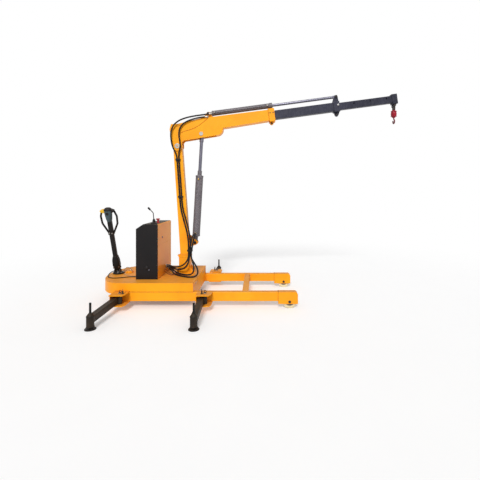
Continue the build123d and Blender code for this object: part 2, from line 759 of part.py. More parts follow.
# Pedestal: square box with gussets, a collar, and the mast's bearing bore
with BuildPart() as pedestal:
    with BuildSketch(Plane.XY.offset(DECK_TOP)):
        with Locations((MAST_X, 0)):
            RectangleRounded(PEDESTAL_WIDTH, PEDESTAL_WIDTH, 8)
    extrude(amount=PEDESTAL_TOP - DECK_TOP)
    with BuildSketch(Plane.XY.offset(PEDESTAL_TOP - 22)):
        with Locations((MAST_X, 0)):
            RectangleRounded(PEDESTAL_COLLAR, PEDESTAL_COLLAR, 10)
    extrude(amount=22)
    with Locations((MAST_X - PEDESTAL_COLLAR / 2 - 12, 0, PEDESTAL_TOP - 6)):
        Box(24, 60, 12)
    for gusset_y in (-52, 52):
        for sign in (-1, 1):
            with BuildSketch(Plane.XZ.offset(-gusset_y - 5)):
                with BuildLine():
                    Polyline(
                        (MAST_X + sign * PEDESTAL_WIDTH / 2, DECK_TOP),
                        (MAST_X + sign * (PEDESTAL_WIDTH / 2 + 52), DECK_TOP),
                        (MAST_X + sign * (PEDESTAL_WIDTH / 2 + 52), DECK_TOP + 14),
                        (MAST_X + sign * (PEDESTAL_WIDTH / 2), DECK_TOP + 138),
                        close=True,
                    )
                make_face()
            extrude(amount=10)
    with BuildSketch(Plane.XY.offset(PEDESTAL_TOP)):
        with Locations((MAST_X, 0)):
            Circle(SPIGOT_RADIUS + RUNNING_GAP)
    extrude(amount=-SPIGOT_LENGTH - 6, mode=Mode.SUBTRACT)
pedestal.part.label = "pedestal"
export_step(pedestal.part, "parts/pedestal.step")

# Mast: leaning column with a round head, a foot plate and a spigot in the pedestal
mast_foot_bottom = PEDESTAL_TOP + SLEW_GAP
with BuildPart() as mast_column:
    with BuildSketch(Plane.XZ):
        with Locations(BOOM_PIVOT):
            Circle(MAST_HEAD_RADIUS)
        with Locations((MAST_X + 4, MAST_FOOT_TOP + 4)):
            Rectangle(MAST_DEPTH, 8)
        make_hull()
    extrude(amount=MAST_WIDTH / 2, both=True)
    with Locations((MAST_X, 0, (mast_foot_bottom + MAST_FOOT_TOP) / 2)):
        Box(158, 140, MAST_FOOT_TOP - mast_foot_bottom)
    with BuildSketch(Plane.XY.offset(mast_foot_bottom)):
        with Locations((MAST_X, 0)):
            Circle(SPIGOT_RADIUS)
    extrude(amount=-SPIGOT_LENGTH)
    with BuildSketch(Plane.XZ):
        with Locations(BOOM_PIVOT):
            Circle(PIVOT_PIN_RADIUS + RUNNING_GAP)
    extrude(amount=MAST_WIDTH, both=True, mode=Mode.SUBTRACT)
mast_column.part.label = "mast_column"
export_step(mast_column.part, "parts/mast_column.step")

# Clevis on the mast's front for the lift cylinder's foot, with its pin
with BuildPart() as lift_bracket:
    for sign in (-1, 1):
        with BuildSketch(Plane.XZ.offset(sign * 25)):
            with Locations(LIFT_FOOT):
                Circle(34)
            with Locations((-963, 810)):
                Rectangle(60, 170)
            make_hull()
        extrude(amount=sign * 12)
    with BuildSketch(Plane.XZ):
        with Locations(LIFT_FOOT):
            Circle(LIFT_PIN_RADIUS)
    extrude(amount=48, both=True)
    add(mast_column.part, mode=Mode.SUBTRACT)
lift_bracket.part.label = "lift_bracket"
export_step(lift_bracket.part, "parts/lift_bracket.step")


def boom_point(u, w):
    """World X and Z of a point given along and square to the boom."""
    pitch = radians(BOOM_PITCH)
    return (
        BOOM_PIVOT[0] + u * cos(pitch) - w * sin(pitch),
        BOOM_PIVOT[1] + u * sin(pitch) + w * cos(pitch),
    )


pitch = radians(BOOM_PITCH)
boom_plane = Plane(
    origin=(BOOM_PIVOT[0], 0, BOOM_PIVOT[1]),
    x_dir=(cos(pitch), 0, sin(pitch)),
    z_dir=(0, -1, 0),
)
boom_section = Plane(
    origin=(BOOM_PIVOT[0], 0, BOOM_PIVOT[1]),
    x_dir=(0, 1, 0),
    z_dir=(cos(pitch), 0, sin(pitch)),
)

# Boom: two side plates with top, bottom, rear and step plates between them
boom_half = BOOM_WIDTH / 2
boom_inside = boom_half - BOOM_SIDE_PLATE
with BuildPart() as boom_beam:
    with BuildSketch(boom_plane):
        with BuildLine():
            Polyline(
                (72, -10),
                (76, 40),
                (103, 65),
                (601, 79),
            )
            ThreePointArc((601, 79), (666, 108), (693, 172))
            Polyline(
                (693, 172),
                (1358, 190),
                (1464, 190),
                (1464, 347),
                (1379, 347),
                (489, 353),
                (439, 359),
                (57, 318),
                (-49, 326),
                (-79, 256),
                (-75, 176),
                (-58, -40),
            )
            ThreePointArc((-58, -40), (0, -71), (72, -10))
        make_face()
    extrude(amount=boom_half, both=True)
    with BuildSketch(boom_section.offset(BOOM_COLLAR_START)):
        with Locations((0, EXT_AXIS_W)):
            Rectangle(154, 186)
    extrude(amount=BOOM_COLLAR_END - BOOM_COLLAR_START)
    with BuildSketch(boom_plane):
        with Locations(BOOM_EYE):
            Circle(26)
        with Locations((1415, 200)):
            Rectangle(84, 30)
        make_hull()
    extrude(amount=BOOM_EYE_LUG / 2, both=True)
    for sign in (-1, 1):
        with BuildSketch(boom_plane.offset(sign * 15)):
            with Locations((PUSH_REAR_PIN_U, PUSH_AXIS_W)):
                Circle(26)
            with Locations((PUSH_REAR_PIN_U - 10, 352)):
                Rectangle(150, 10)
            make_hull()
        extrude(amount=sign * 10)
    with BuildSketch(boom_section.offset(430)):
        with Locations((0, EXT_AXIS_W)):
            Rectangle(EXT1_WIDTH + 2 * SLIDE_GAP, EXT1_HEIGHT + 2 * SLIDE_GAP)
    extrude(amount=BOOM_COLLAR_END, mode=Mode.SUBTRACT)
    with BuildSketch(boom_plane):
        with BuildLine():
            Polyline(
                (-160, -120),
                (-160, 100),
                (-66, 112),
                (-66, 300),
                (450, 300),
                (450, 187),
                (575, 187),
                (575, -120),
                close=True,
            )
        make_face()
    extrude(amount=boom_inside, both=True, mode=Mode.SUBTRACT)
    with BuildSketch(boom_plane):
        Circle(PIVOT_PIN_RADIUS + RUNNING_GAP)
        with Locations((ROD_PIN_U, ROD_PIN_W)):
            Circle(ROD_PIN_RADIUS + RUNNING_GAP)
        with Locations((PUSH_REAR_PIN_U, PUSH_AXIS_W)):
            Circle(PUSH_PIN_RADIUS + RUNNING_GAP)
    extrude(amount=boom_half, both=True, mode=Mode.SUBTRACT)
    with BuildSketch(boom_plane):
        with Locations(BOOM_EYE):
            Circle(EYE_HOLE_RADIUS)
    extrude(amount=BOOM_EYE_LUG / 2, both=True, mode=Mode.SUBTRACT)
boom_beam.part.label = "boom_beam"
export_step(boom_beam.part, "parts/boom_beam.step")

# Pins of the boom: its pivot, the two stubs beside the lift rod's eye, and the push pin
with BuildPart() as boom_pins:
    with BuildSketch(boom_plane):
        Circle(PIVOT_PIN_RADIUS)
    extrude(amount=boom_half, both=True)
    for sign in (-1, 1):
        with BuildSketch(boom_plane.offset(sign * boom_half)):
            Circle(PIVOT_PIN_RADIUS + 12)
            with Locations((ROD_PIN_U, ROD_PIN_W)):
                Circle(ROD_PIN_RADIUS + 9)
        extrude(amount=sign * 8)
        with BuildSketch(boom_plane.offset(sign * (LIFT_EYE_WIDTH / 2 + 6))):
            with Locations((ROD_PIN_U, ROD_PIN_W)):
                Circle(ROD_PIN_RADIUS)
        extrude(amount=sign * (boom_half - LIFT_EYE_WIDTH / 2 - 6))
        with BuildSketch(boom_plane.offset(sign * 25)):
            with Locations((PUSH_REAR_PIN_U, PUSH_AXIS_W)):
                Circle(PUSH_PIN_RADIUS + 6)
        extrude(amount=sign * 5)
    with BuildSketch(boom_plane):
        with Locations((PUSH_REAR_PIN_U, PUSH_AXIS_W)):
            Circle(PUSH_PIN_RADIUS)
    extrude(amount=25, both=True)
boom_pins.part.label = "boom_pins"
export_step(boom_pins.part, "parts/boom_pins.step")

# Push cylinder barrel on top of the boom, with its eye between the boom's lugs
with BuildPart() as push_barrel:
    with BuildSketch(boom_section.offset(PUSH_BARREL_START)):
        with Locations((0, PUSH_AXIS_W)):
            Circle(PUSH_BARREL_RADIUS)
    extrude(amount=PUSH_BARREL_END - PUSH_BARREL_START)
    with BuildSketch(boom_section.offset(PUSH_BARREL_END - 34)):
        with Locations((0, PUSH_AXIS_W)):
            Circle(PUSH_BARREL_RADIUS + 4)
    extrude(amount=42)
    with BuildSketch(boom_plane):
        with Locations((PUSH_REAR_PIN_U, PUSH_AXIS_W)):
            Circle(22)
        with Locations((PUSH_BARREL_START, PUSH_AXIS_W)):
            Rectangle(6, 44)
        make_hull()
    extrude(amount=14, both=True)
    with BuildSketch(boom_section.offset(PUSH_BARREL_START + 18)):
        with Locations((0, PUSH_AXIS_W)):
            Circle(PUSH_BARREL_RADIUS - 6)
    extrude(amount=PUSH_BARREL_END - PUSH_BARREL_START - 36, mode=Mode.SUBTRACT)
    with BuildSketch(boom_section.offset(PUSH_BARREL_START + 18)):
        with Locations((0, PUSH_AXIS_W)):
            Circle(PUSH_ROD_RADIUS + RUNNING_GAP)
    extrude(amount=PUSH_BARREL_END, mode=Mode.SUBTRACT)
    with BuildSketch(boom_plane):
        with Locations((PUSH_REAR_PIN_U, PUSH_AXIS_W)):
            Circle(PUSH_PIN_RADIUS + RUNNING_GAP)
    extrude(amount=30, both=True, mode=Mode.SUBTRACT)
push_barrel.part.label = "push_barrel"
export_step(push_barrel.part, "parts/push_barrel.step")

# First extension tube with its collar and ears
with BuildPart() as extension_1:
    with BuildSketch(boom_section.offset(EXT1_START)):
        with Locations((0, EXT_AXIS_W)):
            RectangleRounded(EXT1_WIDTH, EXT1_HEIGHT, 8)
    extrude(amount=EXT1_END - EXT1_START)
    with BuildSketch(boom_section.offset(EXT1_END)):
        with Locations((0, EXT_AXIS_W)):
            RectangleRounded(124, 153, 6)
    extrude(amount=EXT1_COLLAR_END - EXT1_END)
    with BuildSketch(boom_section.offset(EXT1_START)):
        with Locations((0, EXT_AXIS_W)):
            Rectangle(EXT1_WIDTH - 2 * EXT1_WALL, EXT1_HEIGHT - 2 * EXT1_WALL)
    extrude(amount=EXT1_COLLAR_END, mode=Mode.SUBTRACT)
    for sign in (-1, 1):
        with BuildSketch(boom_plane.offset(sign * 16)):
            with Locations((PUSH_FRONT_PIN_U, PUSH_AXIS_W)):
                Circle(24)
            with Locations(((EXT1_END + EXT1_COLLAR_END) / 2, 340)):
                Rectangle(EXT1_COLLAR_END - EXT1_END, 4)
            make_hull()
        extrude(amount=sign * 10)
    with BuildSketch(boom_plane):
        with Locations(EXT1_EYE):
            Circle(27)
        with Locations(((EXT1_END + EXT1_COLLAR_END) / 2, 194)):
            Rectangle(EXT1_COLLAR_END - EXT1_END, 4)
        make_hull()
    extrude(amount=10, both=True)
    with BuildSketch(boom_plane):
        with Locations(EXT1_EYE):
            Circle(EYE_HOLE_RADIUS)
        with Locations((PUSH_FRONT_PIN_U, PUSH_AXIS_W)):
            Circle(PUSH_PIN_RADIUS + RUNNING_GAP)
    extrude(amount=60, both=True, mode=Mode.SUBTRACT)
extension_1.part.label = "extension_1"
export_step(extension_1.part, "parts/extension_1.step")

# Push rod of the boom's top cylinder, with its eye and pin in the collar's ears
with BuildPart() as push_rod:
    with BuildSketch(boom_section.offset(1340)):
        with Locations((0, PUSH_AXIS_W)):
            Circle(PUSH_ROD_RADIUS)
    extrude(amount=2352 - 1340)
    with BuildSketch(boom_plane):
        with Locations((PUSH_FRONT_PIN_U, PUSH_AXIS_W)):
            Circle(22)
        with Locations((2352, PUSH_AXIS_W)):
            Rectangle(10, 40)
        make_hull()
    extrude(amount=15, both=True)
    with BuildSketch(boom_plane):
        with Locations((PUSH_FRONT_PIN_U, PUSH_AXIS_W)):
            Circle(PUSH_PIN_RADIUS)
    extrude(amount=26, both=True)
    for sign in (-1, 1):
        with BuildSketch(boom_plane.offset(sign * 26)):
            with Locations((PUSH_FRONT_PIN_U, PUSH_AXIS_W)):
                Circle(PUSH_PIN_RADIUS + 6)
        extrude(amount=sign * 5)
push_rod.part.label = "push_rod"
export_step(push_rod.part, "parts/push_rod.step")

# Second extension tube with its row of pin holes, end cap and hook lug
with BuildPart() as extension_2:
    with BuildSketch(boom_section.offset(EXT2_START)):
        with Locations((0, EXT_AXIS_W)):
            RectangleRounded(EXT2_WIDTH, EXT2_HEIGHT, 7)
    extrude(amount=EXT2_END - EXT2_START)
    with BuildSketch(boom_section.offset(EXT2_START)):
        with Locations((0, EXT_AXIS_W)):
            Rectangle(EXT2_WIDTH - 2 * EXT2_WALL, EXT2_HEIGHT - 2 * EXT2_WALL)
    extrude(amount=EXT2_END - EXT2_START, mode=Mode.SUBTRACT)
    with BuildSketch(boom_section.offset(EXT2_END)):
        with Locations((0, EXT_AXIS_W)):
            RectangleRounded(94, 144, 6)
    extrude(amount=EXT2_CAP_END - EXT2_END)
    with BuildSketch(boom_plane):
        with Locations((HOOK_PIN_U, HOOK_PIN_W)):
            Circle(22)
        with Locations((HOOK_PIN_U, 197)):
            Rectangle(70, 4)
        make_hull()
    extrude(amount=10, both=True)
    with BuildSketch(boom_plane):
        with Locations((HOOK_PIN_U, HOOK_PIN_W)):
            Circle(HOOK_PIN_RADIUS + RUNNING_GAP)
        with Locations([(2396 + 240 * step, 284) for step in range(4)]):
            Circle(10)
    extrude(amount=60, both=True, mode=Mode.SUBTRACT)
extension_2.part.label = "extension_2"
export_step(extension_2.part, "parts/extension_2.step")

# Lift cylinder, along the line from its foot pin to its rod pin
rod_pin = boom_point(ROD_PIN_U, ROD_PIN_W)
lift_run = (rod_pin[0] - LIFT_FOOT[0], rod_pin[1] - LIFT_FOOT[1])
lift_length = hypot(*lift_run)
lift_plane = Plane(
    origin=(LIFT_FOOT[0], 0, LIFT_FOOT[1]),
    x_dir=(0, 1, 0),
    z_dir=(lift_run[0], 0, lift_run[1]),
)
with BuildPart() as lift_barrel:
    with BuildSketch(lift_plane.offset(LIFT_BARREL_START)):
        Circle(LIFT_BARREL_RADIUS)
    extrude(amount=LIFT_BARREL_END - LIFT_BARREL_START)
    chamfer(lift_barrel.edges().filter_by(GeomType.CIRCLE), length=5)
    with BuildSketch(lift_plane.offset(LIFT_BARREL_END)):
        Circle(LIFT_GLAND_RADIUS)
    extrude(amount=LIFT_GLAND_END - LIFT_BARREL_END)
    with BuildSketch(lift_plane.offset(15)):
        Rectangle(40, 52)
    extrude(amount=LIFT_BARREL_START - 15)
    with BuildSketch(Plane.XZ):
        with Locations(LIFT_FOOT):
            Circle(30)
    extrude(amount=20, both=True)
    with BuildSketch(lift_plane.offset(LIFT_BARREL_START + 26)):
        Circle(LIFT_BORE_RADIUS)
    extrude(amount=LIFT_BARREL_END - LIFT_BARREL_START - 40, mode=Mode.SUBTRACT)
    with BuildSketch(lift_plane.offset(LIFT_BARREL_START + 26)):
        Circle(LIFT_ROD_RADIUS + RUNNING_GAP)
    extrude(amount=LIFT_GLAND_END, mode=Mode.SUBTRACT)
    with BuildSketch(Plane.XZ):
        with Locations(LIFT_FOOT):
            Circle(LIFT_PIN_RADIUS + RUNNING_GAP)
    extrude(amount=30, both=True, mode=Mode.SUBTRACT)
lift_barrel.part.label = "lift_barrel"
export_step(lift_barrel.part, "parts/lift_barrel.step")

with BuildPart() as lift_rod:
    with BuildSketch(lift_plane.offset(LIFT_ROD_START)):
        Circle(LIFT_ROD_RADIUS)
    extrude(amount=lift_length - 30 - LIFT_ROD_START)
    with BuildSketch(lift_plane.offset(LIFT_ROD_START)):
        Circle(LIFT_BORE_RADIUS - 1)
    extrude(amount=36)
    with BuildSketch(lift_plane.offset(lift_length - 112)):
        Circle(LIFT_ROD_RADIUS + 7)
    extrude(amount=80)
    with BuildSketch(Plane.XZ):
        with Locations(rod_pin):
            Circle(35)
    extrude(amount=LIFT_EYE_WIDTH / 2, both=True)
    with BuildSketch(Plane.XZ):
        with Locations(rod_pin):
            Circle(ROD_PIN_RADIUS + 1)
    extrude(amount=LIFT_EYE_WIDTH, both=True, mode=Mode.SUBTRACT)
lift_rod.part.label = "lift_rod"
export_step(lift_rod.part, "parts/lift_rod.step")

# Hook: shackle on the lug's pin, oval swivel body, and the hook bar below it
hook_x, hook_z = boom_point(HOOK_PIN_U, HOOK_PIN_W)
with BuildPart() as hook_shackle:
    for sign in (-1, 1):
        with BuildSketch(Plane.XZ.offset(sign * 13)):
            with Locations((hook_x, hook_z)):
                Circle(17)
            with Locations((hook_x, HOOK_BLOCK_TOP + 10)):
                Rectangle(30, 14)
            make_hull()
        extrude(amount=sign * 8)
    with Locations((hook_x, 0, HOOK_BLOCK_TOP + 7)):
        Box(34, 42, 14)
    with BuildSketch(Plane.XZ):
        with Locations((hook_x, hook_z)):
            Circle(HOOK_PIN_RADIUS)
    extrude(amount=26, both=True)
hook_shackle.part.label = "hook_shackle"
export_step(hook_shackle.part, "parts/hook_shackle.step")

block_middle = (HOOK_BLOCK_TOP + HOOK_BLOCK_BOTTOM) / 2
block_half = (HOOK_BLOCK_TOP - HOOK_BLOCK_BOTTOM) / 2
with BuildPart() as hook_block:
    with BuildSketch(Plane(origin=(hook_x, 0, block_middle), x_dir=(1, 0, 0), z_dir=(0, -1, 0))):
        with BuildLine():
            Line((0, -block_half), (18, -block_half))
            ThreePointArc(
                (18, -block_half), (HOOK_BLOCK_RADIUS, 0), (18, block_half)
            )
            Line((18, block_half), (0, block_half))
            Line((0, block_half), (0, -block_half))
        make_face()
    revolve(axis=Axis((hook_x, 0, 0), (0, 0, 1)))
    with BuildSketch(Plane.XY.offset(HOOK_BLOCK_BOTTOM)):
        with Locations((hook_x, 0)):
            Circle(HOOK_BAR_RADIUS + RUNNING_GAP)
    extrude(amount=24, mode=Mode.SUBTRACT)
hook_block.part.label = "hook_block"
export_step(hook_block.part, "parts/hook_block.step")

hook_plane = Plane(origin=(hook_x, 0, 0), x_dir=(0, 1, 0), z_dir=(1, 0, 0))
with BuildPart() as hook:
    with BuildLine(hook_plane) as hook_path:
        FilletPolyline(
            (0, HOOK_BLOCK_BOTTOM + 20),
            (0, 2600),
            (-28, 2580),
            (-28, 2538),
            (28, 2538),
            (28, 2582),
            radius=[12, 12, 27.5, 27.5],
        )
    with BuildSketch(Plane(origin=hook_path.line @ 0, z_dir=hook_path.line % 0)):
        Circle(HOOK_BAR_RADIUS)
    sweep()
hook.part.label = "hook"
export_step(hook.part, "parts/hook.step")


def arc_radii(points):
    """As large a bend at each corner as its two runs allow, none under three hose radii."""
    places = [Vector(*point) for point in points]
    radii = []
    for before, corner, after in zip(places, places[1:], places[2:]):
        turn = radians((corner - before).get_angle(after - corner))
        shorter = min((corner - before).length, (after - corner).length)
        radii.append(min(0.45 * shorter / tan(turn / 2), 1500))
    return radii


def lay_hose(name, points, radius):
    """Sweeps one hose or cable along its route, in the open part."""
    radii = arc_radii(points)
    print(name, "bend radii", [round(value) for value in radii])
    with BuildLine() as route:
        FilletPolyline(*points, radius=radii)
    with BuildSketch(Plane(origin=route.line @ 0, z_dir=route.line % 0)) as section:
        Circle(radius)
    sweep(section.sketch, path=route.line)


# Hoses on the mast's near side, from the top clamp down to below the lift bracket
MAST_HOSES = [
    [
        (-1083, -63, 1996),
        (-1070, -65, 1800),
        (-1055, -63, 1620),
        (-1045, -65, 1440),
        (-1028, -66, 1280),
        (-978, -76, 1120),
        (-935, -88, 975),
        (-913, -98, 850),
        (-905, -110, 740),
        (-901, -118, 640),
    ],
    [
        (-1111, -63, 1996),
        (-1098, -65, 1800),
        (-1083, -63, 1620),
        (-1073, -65, 1440),
        (-1057, -66, 1280),
        (-1009, -78, 1110),
        (-965, -92, 965),
        (-941, -104, 840),
        (-933, -116, 735),
        (-931, -124, 640),
    ],
]
with BuildPart() as mast_hoses:
    for number, route_points in enumerate(MAST_HOSES):
        lay_hose(f"mast hose {number}", route_points, HOSE_RADIUS)
mast_hoses.part.label = "mast_hoses"
export_step(mast_hoses.part, "parts/mast_hoses.step")

# Hoses from the top clamp round the back of the boom's foot to the push cylinder
HEAD_HOSES = [
    [
        (-1111, -63, 1996),
        (-1115, -62, 2056),
        (-1137, -78, 2112),
        (-1171, -94, 2185),
        (-1189, -104, 2280),
        (-1193, -108, 2390),
        (-1163, -106, 2485),
        (-1083, -100, 2560),
        (-973, -92, 2604),
        (-853, -80, 2632),
        (-733, -64, 2652),
        (-673, -57, 2662),
        (-618, -51, 2672),
    ],
    [
        (-1083, -63, 1996),
        (-1087, -62, 2052),
        (-1077, -84, 2118),
        (-1055, -98, 2180),
        (-1063, -100, 2260),
        (-1079, -96, 2340),
        (-1075, -92, 2430),
        (-1033, -92, 2505),
        (-957, -90, 2556),
        (-853, -86, 2592),
        (-745, -84, 2614),
        (-673, -72, 2622),
    ],
]
with BuildPart() as head_hoses:
    for number, route_points in enumerate(HEAD_HOSES):
        lay_hose(f"head hose {number}", route_points, HOSE_RADIUS)
    add(mast_hoses.part, mode=Mode.SUBTRACT)
head_hoses.part.label = "head_hoses"
export_step(head_hoses.part, "parts/head_hoses.step")

# Hoses from the mast's foot, looped over the deck to the cabinet's front
DECK_HOSES = [
    [
        (-901, -118, 640),
        (-899, -122, 590),
        (-851, -150, 522),
        (-801, -180, 460),
        (-779, -215, 400),
        (-795, -250, 356),
        (-849, -272, 345),
        (-923, -260, 344),
        (-1003, -214, 344),
        (-1082, -154, 344),
        (-1150, -74, 344),
        (-1196, 26, 345),
        (-1230, 122, 350),
        (-1295, 190, 362),
    ],
    [
        (-931, -124, 640),
        (-930, -128, 595),
        (-953, -152, 535),
        (-997, -162, 490),
        (-1057, -150, 464),
        (-1126, -108, 448),
        (-1186, -36, 440),
        (-1230, 40, 437),
        (-1295, 80, 438),
    ],
]
with BuildPart() as deck_hoses:
    for number, route_points in enumerate(DECK_HOSES):
        lay_hose(f"deck hose {number}", route_points, HOSE_RADIUS)
    add(hose_fittings.part, mode=Mode.SUBTRACT)
    add(mast_hoses.part, mode=Mode.SUBTRACT)
deck_hoses.part.label = "deck_hoses"
export_step(deck_hoses.part, "parts/deck_hoses.step")

# Cables between the cabinet and the tiller's foot, laid on the deck's rear
TILLER_CABLES = [
    (
        6,
        [
            (-1606, -240, 346),
            (-1645, -240, 346),
            (-1700, -224, 339),
            (-1772, -238, 338),
            (-1850, -282, 338),
            (-1930, -300, 338),
            (-2000, -274, 338),
            (-2052, -216, 339),
            (-2068, -150, 350),
            (-2064, -96, 366),
            (-2050, -56, 376),
            (-2026, -30, 378),
        ],
    ),
    (
        4,
        [
            (-1606, -210, 342),
            (-1640, -210, 342),
            (-1686, -200, 337),
            (-1750, -172, 336),
            (-1812, -132, 336),
            (-1860, -88, 338),
            (-1888, -50, 342),
        ],
    ),
]
with BuildPart() as tiller_cable:
    for number, (thickness, route_points) in enumerate(TILLER_CABLES):
        lay_hose(f"tiller cable {number}", route_points, thickness)
    add(tiller_yoke.part, mode=Mode.SUBTRACT)
tiller_cable.part.label = "tiller_cable"
export_step(tiller_cable.part, "parts/tiller_cable.step")
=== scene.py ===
"""Looks of a tiller-steered workshop crane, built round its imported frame.

The boom points along +X, the tiller stands at the -X end and all sizes are in metres.
"""

import logging
import math
from dataclasses import dataclass, field
from enum import Enum
from typing import Sequence

import bmesh
import bpy
from mathutils import Matrix, Vector


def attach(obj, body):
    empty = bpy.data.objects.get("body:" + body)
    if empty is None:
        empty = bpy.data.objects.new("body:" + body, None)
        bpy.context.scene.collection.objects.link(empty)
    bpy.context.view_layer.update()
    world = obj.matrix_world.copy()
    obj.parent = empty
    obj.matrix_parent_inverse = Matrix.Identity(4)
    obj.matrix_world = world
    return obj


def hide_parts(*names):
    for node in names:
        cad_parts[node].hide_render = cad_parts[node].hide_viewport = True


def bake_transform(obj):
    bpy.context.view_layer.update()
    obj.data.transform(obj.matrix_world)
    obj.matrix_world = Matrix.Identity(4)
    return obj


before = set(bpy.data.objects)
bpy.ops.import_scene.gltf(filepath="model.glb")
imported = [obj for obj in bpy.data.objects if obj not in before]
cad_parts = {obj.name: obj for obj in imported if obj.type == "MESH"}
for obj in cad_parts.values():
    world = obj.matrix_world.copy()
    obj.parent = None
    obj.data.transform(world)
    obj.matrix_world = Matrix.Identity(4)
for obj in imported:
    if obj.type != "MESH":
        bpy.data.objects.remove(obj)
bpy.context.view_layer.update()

log = logging.getLogger("crane")

Point = tuple[float, float, float]
Colour = tuple[float, float, float]

SMOOTH_ANGLE = math.radians(35)
MAST_X = -1.003
ROUND, HEXAGON = 28, 6
FLOAT, GEOMETRY = "NodeSocketFloat", "NodeSocketGeometry"
SOCKET_KINDS = {float: FLOAT, int: "NodeSocketInt"}


class Body(str, Enum):
    """The bodies of the frame that new pieces ride on."""

    CHASSIS = "chassis"
    STEERING = "steering"
    TILLER = "tiller"
    WHEEL_RIGHT = "wheel_right"
    WHEEL_LEFT = "wheel_left"
    MAST = "mast"
    BOOM = "boom"
    EXTENSION_ONE = "extension_one"
    EXTENSION_TWO = "extension_two"
    LIFT_BARREL = "lift_barrel"
    HOOK_SHACKLE = "hook_shackle"
    ARM_REAR_RIGHT = "arm_rear_right"
    ARM_REAR_LEFT = "arm_rear_left"
    ARM_FRONT_RIGHT = "arm_front_right"
    ARM_FRONT_LEFT = "arm_front_left"


class Slot(str, Enum):
    """The record's material slots."""

    YELLOW = "yellow_paint"
    BLACK = "black_paint"
    TUBE = "dark_tube"
    PANEL = "side_panel"
    CYLINDER = "grey_cylinder"
    ROD = "bright_rod"
    STEEL = "bare_steel"
    TREAD = "wheel_tread"
    HUB = "wheel_hub"
    RUBBER = "hose_rubber"
    PLASTIC = "control_plastic"
    RED_PLASTIC = "red_plastic"
    RED_PAINT = "red_paint"
    BATTERY = "battery"


def linear(red: float, green: float, blue: float) -> tuple[float, float, float, float]:
    """Turns display values from 0 to 255 into a linear colour with alpha.

    Args:
        red: Red as it shows on the display.
        green: Green as it shows on the display.
        blue: Blue as it shows on the display.

    Returns:
        The four linear values.
    """
    shares = (value / 255 for value in (red, green, blue))
    values = (s / 12.92 if s <= 0.04045 else ((s + 0.055) / 1.055) ** 2.4 for s in shares)
    return (*values, 1.0)


class Nodes:
    """Short hand for adding and linking the nodes of one tree."""

    def __init__(self, tree: bpy.types.NodeTree) -> None:
        """Keeps the tree that the nodes go into."""
        self.tree = tree

    def add(self, kind: str, values: dict | None = None, **settings: object) -> bpy.types.Node:
        """Adds one node.

        Args:
            kind: The node's type name.
            values: What its inputs get, by name or index: a socket or a plain value.
            **settings: Properties of the node itself.

        Returns:
            The new node.
        """
        node = self.tree.nodes.new(kind)
        for name, value in settings.items():
            setattr(node, name, value)
        self.feed(node, values or {})
        return node

    def feed(self, node: bpy.types.Node, values: dict) -> None:
        """Links inputs, by name or index, to their sockets or gives them their plain values."""
        for name, value in values.items():
            if isinstance(value, bpy.types.NodeSocket):
                self.tree.links.new(value, node.inputs[name])
            else:
                node.inputs[name].default_value = value

    def math(self, operation: str, first: object, second: object,
             clamp: bool = False) -> bpy.types.NodeSocket:
        """Adds a math node.

        Args:
            operation: The node's operation.
            first: A socket or a number.
            second: A socket or a number.
            clamp: Whether the result is kept from 0 to 1.

        Returns:
            The node's output socket.
        """
        node = self.add("ShaderNodeMath", {0: first, 1: second}, operation=operation, use_clamp=clamp)
        return node.outputs[0]

    def ramp(self, value: bpy.types.NodeSocket, low: float, high: float) -> bpy.types.NodeSocket:
        """Spreads a value between two limits over 0 to 1, smoothly and clamped."""
        values = {0: value, 1: low, 2: high}
        return self.add("ShaderNodeMapRange", values, interpolation_type="SMOOTHSTEP", clamp=True).outputs[0]

    def mix(self, share: object, first: object, second: object) -> bpy.types.NodeSocket:
        """Mixes two colours, each a socket or a linear colour, by a share from 0 to 1."""
        return self.add("ShaderNodeMix", {0: share, 6: first, 7: second}, data_type="RGBA").outputs[2]

    def noise(self, scale: object, detail: float = 3.0, rough: float = 0.5,
              stretch: Point = (1, 1, 1)) -> bpy.types.NodeSocket:
        """Adds noise on object coordinates.

        Args:
            scale: A socket or a number of waves a metre.
            detail: Octaves.
            rough: How strong the finer octaves are.
            stretch: Scale of the pattern along each axis.

        Returns:
            The noise's value.
        """
        place = self.add("ShaderNodeTexCoord").outputs["Object"]
        if stretch != (1, 1, 1):
            place = self.add("ShaderNodeMapping", {"Vector": place, "Scale": stretch}).outputs[0]
        values = {"Vector": place, "Scale": scale, "Detail": detail, "Roughness": rough}
        return self.add("ShaderNodeTexNoise", values).outputs[0]


class TreeLibrary:
    """Builds each shared node tree once, with the method of its name, and hands it out."""

    tree_kind = "ShaderNodeTree"

    def __init__(self) -> None:
        """Starts with no trees."""
        self.made: dict[str, bpy.types.NodeTree] = {}

    def tree(self, name: str) -> bpy.types.NodeTree:
        """Returns the tree of that name, building it the first time."""
        if name not in self.made:
            self.made[name] = getattr(self, name)()
        return self.made[name]

    def start(self, name: str, inputs: dict[str, object], outputs: dict[str, str]) -> tuple:
        """Starts a tree with named sockets.

        Args:
            name: The tree's name.
            inputs: Each input's name, with its default value or its socket type.
            outputs: Each output's name and socket type.

        Returns:
            The tree's node helper, the sockets of its inputs and its output node.
        """
        tree = bpy.data.node_groups.new(name, self.tree_kind)
        for label, value in inputs.items():
            kind = SOCKET_KINDS.get(type(value), value)
            socket = tree.interface.new_socket(label, in_out="INPUT", socket_type=kind)
            if kind != value:
                socket.default_value = value
        for label, kind in outputs.items():
            tree.interface.new_socket(label, in_out="OUTPUT", socket_type=kind)
        nodes = Nodes(tree)
        return nodes, nodes.add("NodeGroupInput").outputs, nodes.add("NodeGroupOutput")


